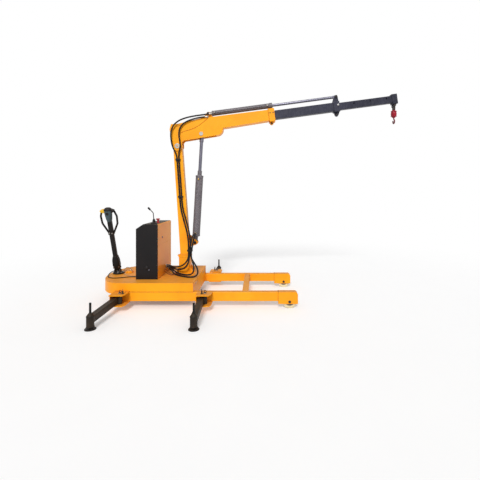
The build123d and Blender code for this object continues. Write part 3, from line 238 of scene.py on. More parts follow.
class EffectLibrary(TreeLibrary):
    """The shader effects that the finishes share."""

    def edge_wear(self) -> bpy.types.ShaderNodeTree:
        """Edges that are softened and rubbed: the wear's mask and the softened normal."""
        nodes, given, out = self.start(
            "Edge wear", {"Radius": 0.003, "Amount": 0.5, "Scale": 40.0},
            {"Mask": FLOAT, "Normal": "NodeSocketVector"},
        )
        soft = nodes.add("ShaderNodeBevel", {"Radius": given["Radius"]}, samples=6).outputs[0]
        face = nodes.add("ShaderNodeNewGeometry").outputs["Normal"]
        turn = nodes.add("ShaderNodeVectorMath", {0: soft, 1: face}, operation="DOT_PRODUCT")
        bend = nodes.math("SUBTRACT", 1.0, turn.outputs["Value"])
        patches = nodes.ramp(nodes.noise(given["Scale"], 5.0, 0.65), 0.42, 0.62)
        mask = nodes.math("MULTIPLY", nodes.ramp(bend, 0.02, 0.16), patches)
        mask = nodes.math("MULTIPLY", mask, given["Amount"], clamp=True)
        nodes.feed(out, {"Mask": mask, "Normal": soft})
        return nodes.tree

    def paint_grain(self) -> bpy.types.ShaderNodeTree:
        """The fine skin of sprayed paint: its height, a slow change of shade and a fine one."""
        nodes, given, out = self.start(
            "Paint grain", {"Fine scale": 260.0, "Shade scale": 2.2},
            {"Height": FLOAT, "Shade": FLOAT, "Fine": FLOAT},
        )
        fine = nodes.noise(given["Fine scale"], 2.0, 0.5)
        slow = nodes.noise(given["Shade scale"], 4.0, 0.6)
        shades = {"Shade": nodes.ramp(slow, 0.36, 0.66), "Fine": nodes.ramp(fine, 0.35, 0.65)}
        nodes.feed(out, {"Height": fine, **shades})
        return nodes.tree

    def dust_and_top_shade_mask(self) -> bpy.types.ShaderNodeTree:
        """The mask of dust and painted shade on level faces, and of splashes low down."""
        nodes, given, out = self.start(
            "Dust and top shade", {"Amount": 0.6, "Scale": 9.0, "Splash height": 0.25}, {"Mask": FLOAT}
        )
        normal = nodes.add("ShaderNodeNewGeometry").outputs["Normal"]
        place = nodes.add("ShaderNodeTexCoord").outputs["Object"]
        upward = nodes.add("ShaderNodeSeparateXYZ", {0: normal}).outputs["Z"]
        height = nodes.add("ShaderNodeSeparateXYZ", {0: place}).outputs["Z"]
        patches = nodes.ramp(nodes.noise(given["Scale"], 6.0, 0.62), 0.3, 0.68)
        patches = nodes.math("ADD", nodes.math("MULTIPLY", patches, 0.45), 0.55)
        # Painted shade, partly: faces that look up take the dust colour, which stands both for dust and for the
        # darker, greyer look of top faces.
        level = nodes.math("MULTIPLY", nodes.ramp(upward, 0.45, 0.9), patches)
        low = nodes.math("SUBTRACT", 1.0, nodes.math("DIVIDE", height, given["Splash height"]), clamp=True)
        low = nodes.math("MULTIPLY", low, nodes.ramp(nodes.noise(38.0, 6.0, 0.7), 0.46, 0.7))
        total = nodes.math("ADD", level, nodes.math("MULTIPLY", low, 0.55))
        nodes.feed(out, {"Mask": nodes.math("MULTIPLY", total, given["Amount"], clamp=True)})
        return nodes.tree

    def mottling(self) -> bpy.types.ShaderNodeTree:
        """Uneven blotches of a scuffed, greasy surface: their mask and a height."""
        nodes, given, out = self.start(
            "Mottling", {"Scale": 30.0, "Contrast": 1.0}, {"Mask": FLOAT, "Height": FLOAT}
        )
        coarse = nodes.noise(given["Scale"], 8.0, 0.72)
        streaks = nodes.noise(given["Scale"], 4.0, 0.6, (2.6, 2.6, 0.5))
        both = nodes.math("ADD", nodes.math("MULTIPLY", coarse, 0.6), nodes.math("MULTIPLY", streaks, 0.4))
        mask = nodes.math("MULTIPLY", nodes.ramp(both, 0.4, 0.62), given["Contrast"], clamp=True)
        nodes.feed(out, {"Mask": mask, "Height": coarse})
        return nodes.tree

    def long_scratches(self) -> bpy.types.ShaderNodeTree:
        """The mask of fine lines left by turning and rubbing."""
        nodes, given, out = self.start("Long scratches", {"Scale": 60.0}, {"Mask": FLOAT})
        across = nodes.noise(given["Scale"], 5.0, 0.7, (0.25, 0.25, 6.0))
        along = nodes.noise(given["Scale"], 5.0, 0.7, (6.0, 6.0, 0.25))
        nodes.feed(out, {"Mask": nodes.math("MULTIPLY", nodes.math("ADD", across, along), 0.5)})
        return nodes.tree


EFFECTS = EffectLibrary()


@dataclass(frozen=True)
class Finish:
    """One finish: two shades of its colour, what its worn edges look like, and the dust and painted shade on
    its level faces.

    Attributes:
        name: The material's name.
        colour: Main colour as it shows on the display.
        shade: Second colour of the slow changes.
        worn: Colour of rubbed edges.
        rough: Roughness.
        metal: Metallic share.
        shine: Strength of the plain reflection.
        coat: Weight of the clear coat.
        wear: How much the edges are rubbed.
        edge: Radius over which edges are softened.
        dust_and_top_shade: How much dust and painted shade lies on level faces.
        mottled: Share of the blotches.
        blotch_scale: Blotches a metre.
        scratched: Share of fine lines in the roughness.
        grain: Depth of the surface's skin in metres.
        grain_scale: Waves of the skin a metre.
        dust_and_top_shade_colour: The colour of the dust and of the painted shade on level faces.
    """

    name: str
    colour: Colour
    shade: Colour
    worn: Colour = (120, 112, 104)
    rough: float = 0.42
    metal: float = 0.0
    shine: float = 0.2
    coat: float = 0.0
    wear: float = 0.5
    edge: float = 0.003
    dust_and_top_shade: float = 0.5
    mottled: float = 0.0
    blotch_scale: float = 30.0
    scratched: float = 0.0
    grain: float = 0.00012
    grain_scale: float = 260.0
    dust_and_top_shade_colour: Colour = (196, 156, 108)

    def material(self) -> bpy.types.Material:
        """Builds the material the first time and returns it.

        Returns:
            The procedural material of this finish.
        """
        found = bpy.data.materials.get(self.name)
        if found:
            return found
        material = bpy.data.materials.new(self.name)
        material.use_nodes = True
        nodes = Nodes(material.node_tree)
        shader = material.node_tree.nodes["Principled BSDF"]
        plain = {"Coat Weight": self.coat, "Coat Roughness": 0.12, "Specular IOR Level": self.shine}
        nodes.feed(shader, plain)
        grain = self.effect(nodes, "paint_grain", {"Fine scale": self.grain_scale})
        edges = self.effect(nodes, "edge_wear", {"Radius": self.edge, "Amount": self.wear})
        dust_and_top_shade = self.effect(nodes, "dust_and_top_shade_mask", {"Amount": self.dust_and_top_shade})["Mask"]
        colour = nodes.mix(grain["Shade"], linear(*self.colour), linear(*self.shade))
        height = grain["Height"]
        if self.mottled:
            scales = {"Scale": self.blotch_scale, "Contrast": self.mottled}
            blotches = self.effect(nodes, "mottling", scales)
            colour = nodes.mix(blotches["Mask"], colour, linear(*self.worn))
            height = nodes.math("ADD", height, nodes.math("MULTIPLY", blotches["Height"], 2.0))
        colour = nodes.mix(edges["Mask"], colour, linear(*self.worn))
        # Painted shade, partly: the dust colour on level faces also paints their darker, greyer look.
        colour = nodes.mix(dust_and_top_shade, colour, linear(*self.dust_and_top_shade_colour))

        rough = nodes.math("ADD", nodes.math("MULTIPLY", grain["Fine"], 0.06), self.rough - 0.03)
        if self.scratched:
            lines = self.effect(nodes, "long_scratches", {})["Mask"]
            change = nodes.math("SUBTRACT", lines, 0.5)
            rough = nodes.math("ADD", rough, nodes.math("MULTIPLY", change, self.scratched))
        rough = nodes.math("ADD", rough, nodes.math("MULTIPLY", dust_and_top_shade, 0.35), clamp=True)
        if self.metal:
            metal = nodes.math("MULTIPLY", nodes.math("SUBTRACT", 1.0, dust_and_top_shade), self.metal)
        else:
            metal = nodes.math("MULTIPLY", edges["Mask"], 0.5)

        values = {"Strength": 0.6, "Distance": self.grain, "Height": height, "Normal": edges["Normal"]}
        bump = nodes.add("ShaderNodeBump", values).outputs[0]
        nodes.feed(shader, {"Base Color": colour, "Roughness": rough, "Metallic": metal, "Normal": bump})
        return material

    @staticmethod
    def effect(nodes: Nodes, name: str, values: dict[str, float]) -> bpy.types.bpy_prop_collection:
        """Places a shared effect with its own values and returns its outputs."""
        return nodes.add("ShaderNodeGroup", values, node_tree=EFFECTS.tree(name)).outputs


# Painted shade, partly: the tan dust colour of the yellow paint also stands for the darker, greyer top faces.
YELLOW = Finish("Yellow paint", (252, 168, 22), (246, 156, 18), worn=(150, 108, 60), rough=0.4,
                coat=0.04, wear=0.4, dust_and_top_shade=0.6, dust_and_top_shade_colour=(206, 140, 66))
# Painted shadow, partly: the darker orange of the weld beads also draws the shadow line along the boom's fork
# plates.
WELD_AND_EDGE_SHADOW = Finish("Weld and edge shadow", (184, 104, 20), (140, 74, 18), rough=0.5, wear=0.2, dust_and_top_shade=0.5,
              grain=0.0005, dust_and_top_shade_colour=(176, 116, 60))
BLACK = Finish("Black paint", (15, 14, 14), (25, 21, 20), worn=(76, 66, 58), rough=0.46,
               wear=0.4, dust_and_top_shade=0.18, dust_and_top_shade_colour=(82, 72, 62))
ARM_BLACK = Finish("Arm paint", (28, 23, 19), (42, 33, 25), worn=(96, 78, 58), rough=0.5, wear=0.5,
                   dust_and_top_shade=0.22, mottled=0.15, blotch_scale=14.0, dust_and_top_shade_colour=(96, 78, 58))
TUBE = Finish("Extension paint", (32, 33, 47), (46, 47, 63), worn=(112, 112, 120), rough=0.42, wear=0.5,
              dust_and_top_shade=0.16, mottled=0.14, blotch_scale=24.0, dust_and_top_shade_colour=(104, 104, 112))
PANEL = Finish("Side panel", (22, 18, 19), (14, 12, 13), worn=(58, 52, 48), rough=0.52, wear=0.25,
               dust_and_top_shade=0.2, grain=0.0003, grain_scale=420.0, dust_and_top_shade_colour=(76, 70, 64))
TOP_MAT = Finish("Top mat", (84, 78, 70), (70, 66, 62), rough=0.75, wear=0.2, dust_and_top_shade=0.35,
                 grain=0.0006, grain_scale=500.0, dust_and_top_shade_colour=(120, 110, 98))
CYLINDER = Finish("Cylinder paint", (58, 54, 60), (86, 80, 86), worn=(166, 160, 162), rough=0.5,
                  metal=0.1, wear=0.5, dust_and_top_shade=0.25, mottled=0.5, blotch_scale=90.0, scratched=0.3,
                  dust_and_top_shade_colour=(126, 118, 118), shine=0.3)
CHROME = Finish("Chromed rod", (118, 116, 128), (98, 97, 110), worn=(160, 160, 170), rough=0.36,
                metal=0.85, wear=0.1, dust_and_top_shade=0.15, mottled=0.2, blotch_scale=80.0, scratched=0.15,
                grain=0.00002, dust_and_top_shade_colour=(112, 108, 108))
STEEL = Finish("Zinc plated steel", (176, 170, 158), (150, 146, 140), worn=(200, 196, 190), rough=0.38,
               metal=0.85, wear=0.4, dust_and_top_shade=0.25, mottled=0.2, scratched=0.35, dust_and_top_shade_colour=(140, 128, 112))
DARK_STEEL = Finish("Oiled steel", (54, 50, 49), (38, 36, 37), worn=(120, 114, 108), rough=0.42, metal=0.6,
                    wear=0.5, dust_and_top_shade=0.25, mottled=0.25, scratched=0.3, dust_and_top_shade_colour=(108, 94, 78))
TREAD = Finish("Cream wheel tread", (236, 222, 184), (222, 206, 166), worn=(150, 136, 112), rough=0.55,
               wear=0.35, dust_and_top_shade=0.3, mottled=0.2, blotch_scale=26.0, dust_and_top_shade_colour=(160, 144, 120))
HUB = Finish("Cast hub", (178, 168, 150), (150, 142, 128), rough=0.6, metal=0.3, wear=0.4, dust_and_top_shade=0.35,
             mottled=0.25, grain=0.0008, grain_scale=160.0, dust_and_top_shade_colour=(150, 134, 110))
RUBBER = Finish("Hose rubber", (20, 18, 20), (30, 27, 28), worn=(62, 56, 54), rough=0.55, wear=0.0,
                edge=0.001, dust_and_top_shade=0.22, grain=0.0003, grain_scale=700.0, dust_and_top_shade_colour=(96, 86, 76))
CABLE_SKIN = Finish("Tan cable", (168, 150, 122), (146, 128, 104), rough=0.55, wear=0.0, edge=0.001,
                    dust_and_top_shade=0.2, grain=0.0002, grain_scale=700.0)
HEAD_PLASTIC = Finish("Control plastic", (76, 94, 98), (64, 80, 86), worn=(108, 118, 120), rough=0.5,
                      wear=0.35, dust_and_top_shade=0.2, grain=0.0003, grain_scale=600.0, dust_and_top_shade_colour=(110, 102, 92))
DARK_PLASTIC = Finish("Dark plastic", (34, 31, 31), (26, 24, 25), worn=(66, 60, 56), rough=0.5, wear=0.3,
                      dust_and_top_shade=0.2, grain=0.0003, grain_scale=600.0, dust_and_top_shade_colour=(94, 78, 66))
ROCKER_YELLOW = Finish("Rocker plastic", (242, 196, 56), (230, 180, 44), worn=(190, 160, 90), rough=0.4,
                       wear=0.3, dust_and_top_shade=0.2, grain=0.0002, grain_scale=600.0)
RED_PLASTIC = Finish("Red plastic", (186, 22, 40), (160, 18, 34), worn=(120, 40, 44), rough=0.3,
                     coat=0.3, wear=0.3, dust_and_top_shade=0.15, grain=0.0001)
RED_PAINT = Finish("Red paint", (158, 24, 44), (132, 18, 38), worn=(112, 74, 74), rough=0.38, coat=0.1,
                   wear=0.6, dust_and_top_shade=0.2, dust_and_top_shade_colour=(150, 96, 88))
BRASS = Finish("Brass fitting", (212, 176, 96), (190, 152, 78), worn=(226, 196, 128), rough=0.35, metal=0.9,
               wear=0.4, dust_and_top_shade=0.2, mottled=0.2)
HOOK_RED = Finish("Hook paint", (120, 26, 40), (92, 22, 32), worn=(120, 96, 92), rough=0.4, wear=0.6,
                  dust_and_top_shade=0.25, mottled=0.3, dust_and_top_shade_colour=(128, 92, 84))
# Painted shadow: the reddish brown of the thin tubes on the deck that stand for the hoses' shadows.
HOSE_SHADOW_SKIN = Finish("Painted hose shadow", (134, 70, 44), (112, 56, 36), rough=0.55, wear=0.0, edge=0.001, dust_and_top_shade=0.1,
                   grain=0.0001, grain_scale=700.0)
WHITE_PIN = Finish("White plastic", (238, 238, 236), (224, 224, 224), worn=(190, 190, 188), rough=0.4,
                   wear=0.3, dust_and_top_shade=0.1, grain=0.0001)
BATTERY = Finish("Battery case", (46, 46, 48), (36, 36, 38), rough=0.55, wear=0.3, dust_and_top_shade=0.5)


def linked(name: str, data: bpy.types.ID) -> bpy.types.Object:
    """Makes an object of its data and links it to the scene."""
    made = bpy.data.objects.new(name, data)
    bpy.context.scene.collection.objects.link(made)
    return made


def taken(carrier: bpy.types.Object) -> bpy.types.Mesh:
    """Returns the evaluated mesh of a carrier and takes the carrier out of the scene."""
    bpy.context.view_layer.update()
    evaluated = carrier.evaluated_get(bpy.context.evaluated_depsgraph_get())
    mesh = bpy.data.meshes.new_from_object(evaluated)
    bpy.data.objects.remove(carrier)
    return mesh


def skin(rings: int, steps: int, closed: bool = False) -> list[tuple[int, ...]]:
    """The faces of a skin through rings of points, one after the other.

    Args:
        rings: How many rings there are.
        steps: Points round each ring.
        closed: Whether the last ring joins the first, which leaves out the caps.

    Returns:
        The indices of each face's points.
    """
    faces = []
    for ring in range(rings if closed else rings - 1):
        a, b = ring * steps, (ring + 1) % rings * steps
        for step in range(steps):
            after = (step + 1) % steps
            faces.append((a + step, a + after, b + after, b + step))
    if not closed:
        last = (rings - 1) * steps
        faces += [tuple(reversed(range(steps))), tuple(range(last, last + steps))]
    return faces


def rectangle(x: float, y: float, half_x: float, half_y: float) -> list[tuple[float, float]]:
    """The corners of a rectangle round its middle, with the first again at the end."""
    signs = ((-1, -1), (1, -1), (1, 1), (-1, 1), (-1, -1))
    return [(x + a * half_x, y + b * half_y) for a, b in signs]


class Draft:
    """Collects closed shapes in metres and turns them into one piece."""

    def __init__(self) -> None:
        """Starts with no shapes."""
        self.verts: list[Vector] = []
        self.faces: list[list[int]] = []

    def add(self, verts: Sequence[Point], faces: Sequence[Sequence[int]], at: Matrix = Matrix()) -> None:
        """Adds points and faces, moved by a matrix.

        Args:
            verts: The points.
            faces: Indices of each face's points.
            at: Where the shape goes.
        """
        first = len(self.verts)
        self.verts.extend(at @ Vector(v) for v in verts)
        self.faces.extend([first + index for index in face] for face in faces)

    def lathe(self, profile: Sequence[tuple[float, float]], at: Matrix = Matrix(), steps: int = ROUND) -> None:
        """Adds a turned shape.

        Args:
            profile: Radius and height of each ring, from bottom to top.
            at: Where the turning axis, local Z, goes.
            steps: Points round the axis.
        """
        verts = []
        for radius, height in profile:
            for step in range(steps):
                angle = math.tau * step / steps
                verts.append((radius * math.cos(angle), radius * math.sin(angle), height))
        self.add(verts, skin(len(profile), steps), at)

    def ends(self, middle: Point, half: float, turned: Sequence[tuple[Sequence[tuple[float, float]], int]],
             along: Point = (1, 0, 0)) -> None:
        """Adds turned shapes on both ends of a pin that lies across the crane.

        Args:
            middle: The pin's middle.
            half: Half the pin's length.
            turned: Profile of each shape, with its points round the axis.
            along: Where local X points, roughly.
        """
        x, y, z = middle
        for side in (-1, 1):
            at = axes((x, y + side * half, z), along, (0, side, 0))
            for profile, steps in turned:
                self.lathe(profile, at, steps)

    def prism(self, outline: Sequence[tuple[float, float]], depth: float, at: Matrix = Matrix()) -> None:
        """Adds an outline in local XY made solid from -depth / 2 to depth / 2 along local Z."""
        count = len(outline)
        verts = [(x, y, z) for z in (-depth / 2, depth / 2) for x, y in outline]
        faces = [tuple(reversed(range(count))), tuple(range(count, 2 * count))]
        for step in range(count):
            after = (step + 1) % count
            faces.append((step, after, count + after, count + step))
        self.add(verts, faces, at)

    def block(self, size: Point, at: Matrix = Matrix()) -> None:
        """Adds a box of that size, centred on the matrix."""
        x, y, z = (value / 2 for value in size)
        self.prism([(-x, -y), (x, -y), (x, y), (-x, y)], 2 * z, at)

    def torus(self, ring: float, section: float, at: Matrix = Matrix()) -> None:
        """Adds a ring round local Z."""
        turns = (math.tau * step / 32 for step in range(32))
        points = [at @ Vector((ring * math.cos(turn), ring * math.sin(turn), 0)) for turn in turns]
        self.tube(points, section, 10, closed=True)

    def tube(self, points: Sequence[Vector], radius: float, sides: int, closed: bool = False) -> None:
        """Adds a round bar along points.

        Args:
            points: The centre line.
            radius: The bar's radius.
            sides: Points round the bar.
            closed: Whether the bar's end joins its start.
        """
        path = [Vector(p) for p in points]
        count = len(path)
        verts = []
        previous = None
        for index, point in enumerate(path):
            before = path[index - 1] if index or closed else point
            after = path[(index + 1) % count] if index + 1 < count or closed else point
            along = (after - before).normalized()
            if previous is None:
                previous = Vector((0, 0, 1)) if abs(along.z) < 0.9 else Vector((1, 0, 0))
            side = previous = (previous - along * previous.dot(along)).normalized()
            other = along.cross(side)
            for step in range(sides):
                angle = math.tau * step / sides
                offset = side * math.cos(angle) + other * math.sin(angle)
                verts.append(point + offset * radius)
        self.add(verts, skin(count, sides, closed))

    def piece(self, name: str, finish: Finish, slot: Slot, bevel: float = 0.0) -> bpy.types.Object:
        """Makes one object of all the shapes, with outward normals.

        Args:
            name: The piece's name.
            finish: Its finish.
            slot: The record's slot that it belongs to; not used.
            bevel: Width of its bevelled edges.

        Returns:
            The new object, at the origin.
        """
        mesh = bpy.data.meshes.new(name)
        mesh.from_pydata([tuple(v) for v in self.verts], [], self.faces)
        shape = bmesh.new()
        shape.from_mesh(mesh)
        bmesh.ops.remove_doubles(shape, verts=shape.verts, dist=1e-6)
        bmesh.ops.recalc_face_normals(shape, faces=shape.faces)
        shape.to_mesh(mesh)
        shape.free()
        return finished(mesh, name, finish, bevel)

    def mount(self, name: str, finish: Finish, slot: Slot, body: Body, bevel: float = 0.0) -> None:
        """Makes the piece and sets it on a body."""
        set_on(self.piece(name, finish, slot, bevel), body)


def finished(mesh: bpy.types.Mesh, name: str, finish: Finish,
             bevel: float = 0.0) -> bpy.types.Object:
    """Shades a mesh, dresses it and links it to the scene.

    Args:
        mesh: The mesh.
        name: The piece's name.
        finish: Its finish.
        bevel: Width of its bevelled edges.

    Returns:
        The new object.
    """
    mesh.validate()
    mesh.shade_smooth()
    mesh.set_sharp_from_angle(angle=SMOOTH_ANGLE)
    mesh.materials.clear()
    mesh.materials.append(finish.material())
    piece = linked(name, mesh)
    if bevel:
        edge = piece.modifiers.new("Edges", "BEVEL")
        edge.width, edge.segments, edge.limit_method = bevel, 2, "ANGLE"
        edge.angle_limit = SMOOTH_ANGLE
    return piece


def set_on(piece: bpy.types.Object, body: Body) -> bpy.types.Object:
    """Lets a piece ride on a body and reports it."""
    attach(piece, body.value)
    log.info("%s rides on %s", piece.name, body.value)
    return piece


def axes(origin: Point, along: Point, up: Point) -> Matrix:
    """A place whose local Z points along one direction.

    Args:
        origin: The place's origin.
        along: Where local X points, roughly.
        up: Where local Z points.

    Returns:
        The matrix of the place.
    """
    z = Vector(up).normalized()
    x = (Vector(along) - z * Vector(along).dot(z)).normalized()
    y = z.cross(x)
    matrix = Matrix.Identity(4)
    for column, axis in enumerate((x, y, z)):
        matrix.col[column][:3] = axis
    matrix.col[3][:3] = origin
    return matrix


class Pattern(TreeLibrary):
    """Geometry Nodes trees for what repeats on the crane."""

    tree_kind = "GeometryNodeTree"

    def begin(self, name: str, measures: dict[str, object]) -> tuple:
        """Starts a tree with a geometry, its measures, counts and seeds, and a material."""
        inputs = {"Geometry": GEOMETRY, **measures, "Material": "NodeSocketMaterial"}
        return self.start(name, inputs, {"Geometry": GEOMETRY})

    @staticmethod
    def end(nodes: Nodes, given: bpy.types.bpy_prop_collection, out: bpy.types.Node,
            parts: dict[str, bpy.types.NodeSocket]) -> bpy.types.GeometryNodeTree:
        """Puts an instance on every point, makes them real and gives them the material."""
        place = nodes.add("GeometryNodeInstanceOnPoints", parts)
        real = nodes.add("GeometryNodeRealizeInstances", {0: place.outputs[0]})
        values = {"Geometry": real.outputs[0], "Material": given["Material"]}
        nodes.feed(out, {0: nodes.add("GeometryNodeSetMaterial", values).outputs[0]})
        return nodes.tree

    def bolts(self, nodes: Nodes, given: bpy.types.bpy_prop_collection, out: bpy.types.Node,
              points: bpy.types.NodeSocket) -> bpy.types.GeometryNodeTree:
        """Puts a hexagon head on its washer on every point, with a random turn from the seed."""
        heads = nodes.add("GeometryNodeJoinGeometry")
        for corners, wide, tall, base in ((6, 1.0, 0.8, 0.2), (18, 1.3, 0.2, 0.0)):
            radius = nodes.math("MULTIPLY", given["Radius"], wide)
            depth = nodes.math("MULTIPLY", given["Height"], tall)
            middle = nodes.math("MULTIPLY", given["Height"], base + tall / 2)
            values = {"Vertices": corners, "Radius": radius, "Depth": depth}
            solid = nodes.add("GeometryNodeMeshCylinder", values).outputs["Mesh"]
            lift = nodes.add("ShaderNodeCombineXYZ", {2: middle}).outputs[0]
            moved = nodes.add("GeometryNodeTransform", {"Geometry": solid, "Translation": lift})
            nodes.feed(heads, {0: moved.outputs[0]})
        values = {3: math.tau / 6, "Seed": given["Seed"]}
        chance = nodes.add("FunctionNodeRandomValue", values, data_type="FLOAT")
        turn = nodes.add("ShaderNodeCombineXYZ", {2: chance.outputs[1]}).outputs[0]
        parts = {"Points": points, "Instance": heads.outputs[0], "Rotation": turn}
        return self.end(nodes, given, out, parts)

    def bolt_row(self) -> bpy.types.GeometryNodeTree:
        """Bolt heads in a row along local X."""
        measures = {"Spacing": 0.05, "Radius": 0.008, "Height": 0.007, "Count": 4, "Seed": 3}
        nodes, given, out = self.begin("Bolt row", measures)
        step = nodes.add("ShaderNodeCombineXYZ", {0: given["Spacing"]}).outputs[0]
        line = nodes.add("GeometryNodeMeshLine", {"Count": given["Count"], "Offset": step}, mode="OFFSET")
        return self.bolts(nodes, given, out, line.outputs[0])

    def bolt_circle(self) -> bpy.types.GeometryNodeTree:
        """Bolt heads on a circle round local Z."""
        measures = {"Circle": 0.05, "Radius": 0.006, "Height": 0.006, "Count": 6, "Seed": 5}
        nodes, given, out = self.begin("Bolt circle", measures)
        ring = nodes.add("GeometryNodeMeshCircle", {"Vertices": given["Count"], "Radius": given["Circle"]})
        return self.bolts(nodes, given, out, ring.outputs[0])

    def weld_bead(self) -> bpy.types.GeometryNodeTree:
        """Overlapping drops of weld along the edges that come in."""
        nodes, given, out = self.begin("Weld bead", {"Pitch": 0.009, "Radius": 0.0055, "Seed": 11})
        curve = nodes.add("GeometryNodeMeshToCurve", {0: given["Geometry"]}).outputs[0]
        values = {"Curve": curve, "Length": given["Pitch"]}
        even = nodes.add("GeometryNodeResampleCurve", values, mode="LENGTH")
        drop = nodes.add("GeometryNodeMeshIcoSphere", {"Subdivisions": 1, "Radius": given["Radius"]})
        values = {0: (0.85, 0.85, 0.8), 1: (1.3, 1.3, 1.05), "Seed": given["Seed"]}
        size = nodes.add("FunctionNodeRandomValue", values, data_type="FLOAT_VECTOR")
        parts = {"Points": even.outputs[0], "Instance": drop.outputs[0], "Scale": size.outputs[0]}
        return self.end(nodes, given, out, parts)

    def run(self, name: str, values: dict[str, float], finish: Finish,
            edges: Sequence[Sequence[Point]] = ()) -> bpy.types.Mesh:
        """Evaluates a tree and returns its result as a plain mesh.

        Args:
            name: The tree's name.
            values: Values of its inputs.
            finish: Finish of the result.
            edges: Lines of points that go in as edges.

        Returns:
            The mesh.
        """
        tree = self.tree(name)
        base = bpy.data.meshes.new("pattern_base")
        points, links = [], []
        for line in edges:
            first = len(points)
            points.extend(line)
            links.extend((first + step, first + step + 1) for step in range(len(line) - 1))
        base.from_pydata(points, links, [])
        carrier = linked("pattern_carrier", base)
        modifier = carrier.modifiers.new("Pattern", "NODES")
        modifier.node_group = tree
        labels = {item.name: item.identifier for item in tree.interface.items_tree if item.in_out == "INPUT"}
        for label, value in {**values, "Material": finish.material()}.items():
            modifier[labels[label]] = value
        mesh = taken(carrier)
        bpy.data.meshes.remove(base)
        return mesh


PATTERNS = Pattern()


class PatternSet:
    """Joins several runs of one pattern into one piece for one body."""

    def __init__(self, pattern: str, finish: Finish, slot: Slot) -> None:
        """Keeps which pattern is run and how it is finished."""
        self.pattern, self.finish, self.slot = pattern, finish, slot
        self.shape = bmesh.new()

    def put(self, values: dict[str, float], at: Matrix = Matrix(),
            edges: Sequence[Sequence[Point]] = ()) -> None:
        """Runs the pattern once and adds the result at a place.

        Args:
            values: Values of the pattern's inputs.
            at: Where the result goes.
            edges: Lines of points that go in as edges.
        """
        mesh = PATTERNS.run(self.pattern, values, self.finish, edges)
        mesh.transform(at)
        self.shape.from_mesh(mesh)
        bpy.data.meshes.remove(mesh)

    def piece(self, name: str, body: Body) -> bpy.types.Object:
        """Makes the piece and sets it on a body."""
        mesh = bpy.data.meshes.new(name)
        self.shape.to_mesh(mesh)
        self.shape.free()
        return set_on(finished(mesh, name, self.finish), body)


CORNERS = ("rear_right", "rear_left", "front_right", "front_left")
CAD_FINISHES: dict[str, Finish] = {}
for painted, node_names in (
    (STEEL, ("outrigger_pins", "hose_fittings", "boom_pins")),
    (DARK_STEEL, ("front_axles", "valve_lever", "tiller_yoke", "hook_shackle")),
    (BATTERY, ("battery_block",)),
    (PANEL, ("cabinet_sides",)),
    (DARK_PLASTIC, ("valve_block",)),
    (RED_PLASTIC, ("emergency_stop",)),
    (BLACK, ("turntable", "drive_motor", "drive_fork", "tiller_arm", "tiller_handle",
             *(f"jack_{corner}" for corner in CORNERS))),
    (HUB, ("drive_hub", "front_hub_right", "front_hub_left")),
    (TREAD, ("drive_tyre", "front_tyre_right", "front_tyre_left")),
    (HEAD_PLASTIC, ("tiller_head",)),
    (CYLINDER, ("push_barrel", "lift_barrel")),
    (TUBE, ("extension_1", "extension_2")),
    (CHROME, ("push_rod", "lift_rod")),
    (RED_PAINT, ("hook_block",)),
    (HOOK_RED, ("hook",)),
    (ARM_BLACK, tuple(f"outrigger_arm_{corner}" for corner in CORNERS)),
):
    CAD_FINISHES.update(dict.fromkeys(node_names, painted))


def dress_frame() -> None:
    """Gives every node of the frame its finish."""
    for name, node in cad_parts.items():
        material = CAD_FINISHES.get(name, YELLOW).material()
        node.data.materials.clear()
        node.data.materials.append(material)
    log.info("dressed %d nodes of the frame", len(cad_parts))


@dataclass
class BoomAxes:
    """The boom's own axes: u along it from its pivot and w square to it."""

    pivot_x: float = -1.109
    pivot_z: float = 2.199
    pitch: float = math.radians(7.6)

    def point(self, u: float, w: float, y: float = 0.0) -> Point:
        """A point given in the boom's axes, in the row frame."""
        return (
            self.pivot_x + u * math.cos(self.pitch) - w * math.sin(self.pitch),
            y,
            self.pivot_z + u * math.sin(self.pitch) + w * math.cos(self.pitch),
        )

    def along(self) -> Point:
        """The direction of the boom."""
        return (math.cos(self.pitch), 0.0, math.sin(self.pitch))

    def across(self) -> Point:
        """The direction square to the boom, upwards."""
        return (-math.sin(self.pitch), 0.0, math.cos(self.pitch))


BOOM_AXES = BoomAxes()


@dataclass
class Hose:
    """One hose or cable along a smooth route.

    Attributes:
        route: Points that guide the curve.
        radius: Radius of the hose.
    """

    route: Sequence[Point]
    radius: float = 0.011

    def line(self) -> list[Vector]:
        """Reads the points of the hose's centre line from its curve.

        Returns:
            The points, in the row frame.
        """
        curve = bpy.data.curves.new("route", "CURVE")
        curve.dimensions = "3D"
        spline = curve.splines.new("NURBS")
        spline.points.add(len(self.route) - 1)
        for point, place in zip(spline.points, self.route):
            point.co = (*place, 1.0)
        spline.order_u = 3
        spline.use_endpoint_u = True
        spline.resolution_u = 10
        mesh = taken(linked("route", curve))
        points = [v.co.copy() for v in mesh.vertices]
        bpy.data.meshes.remove(mesh)
        return points


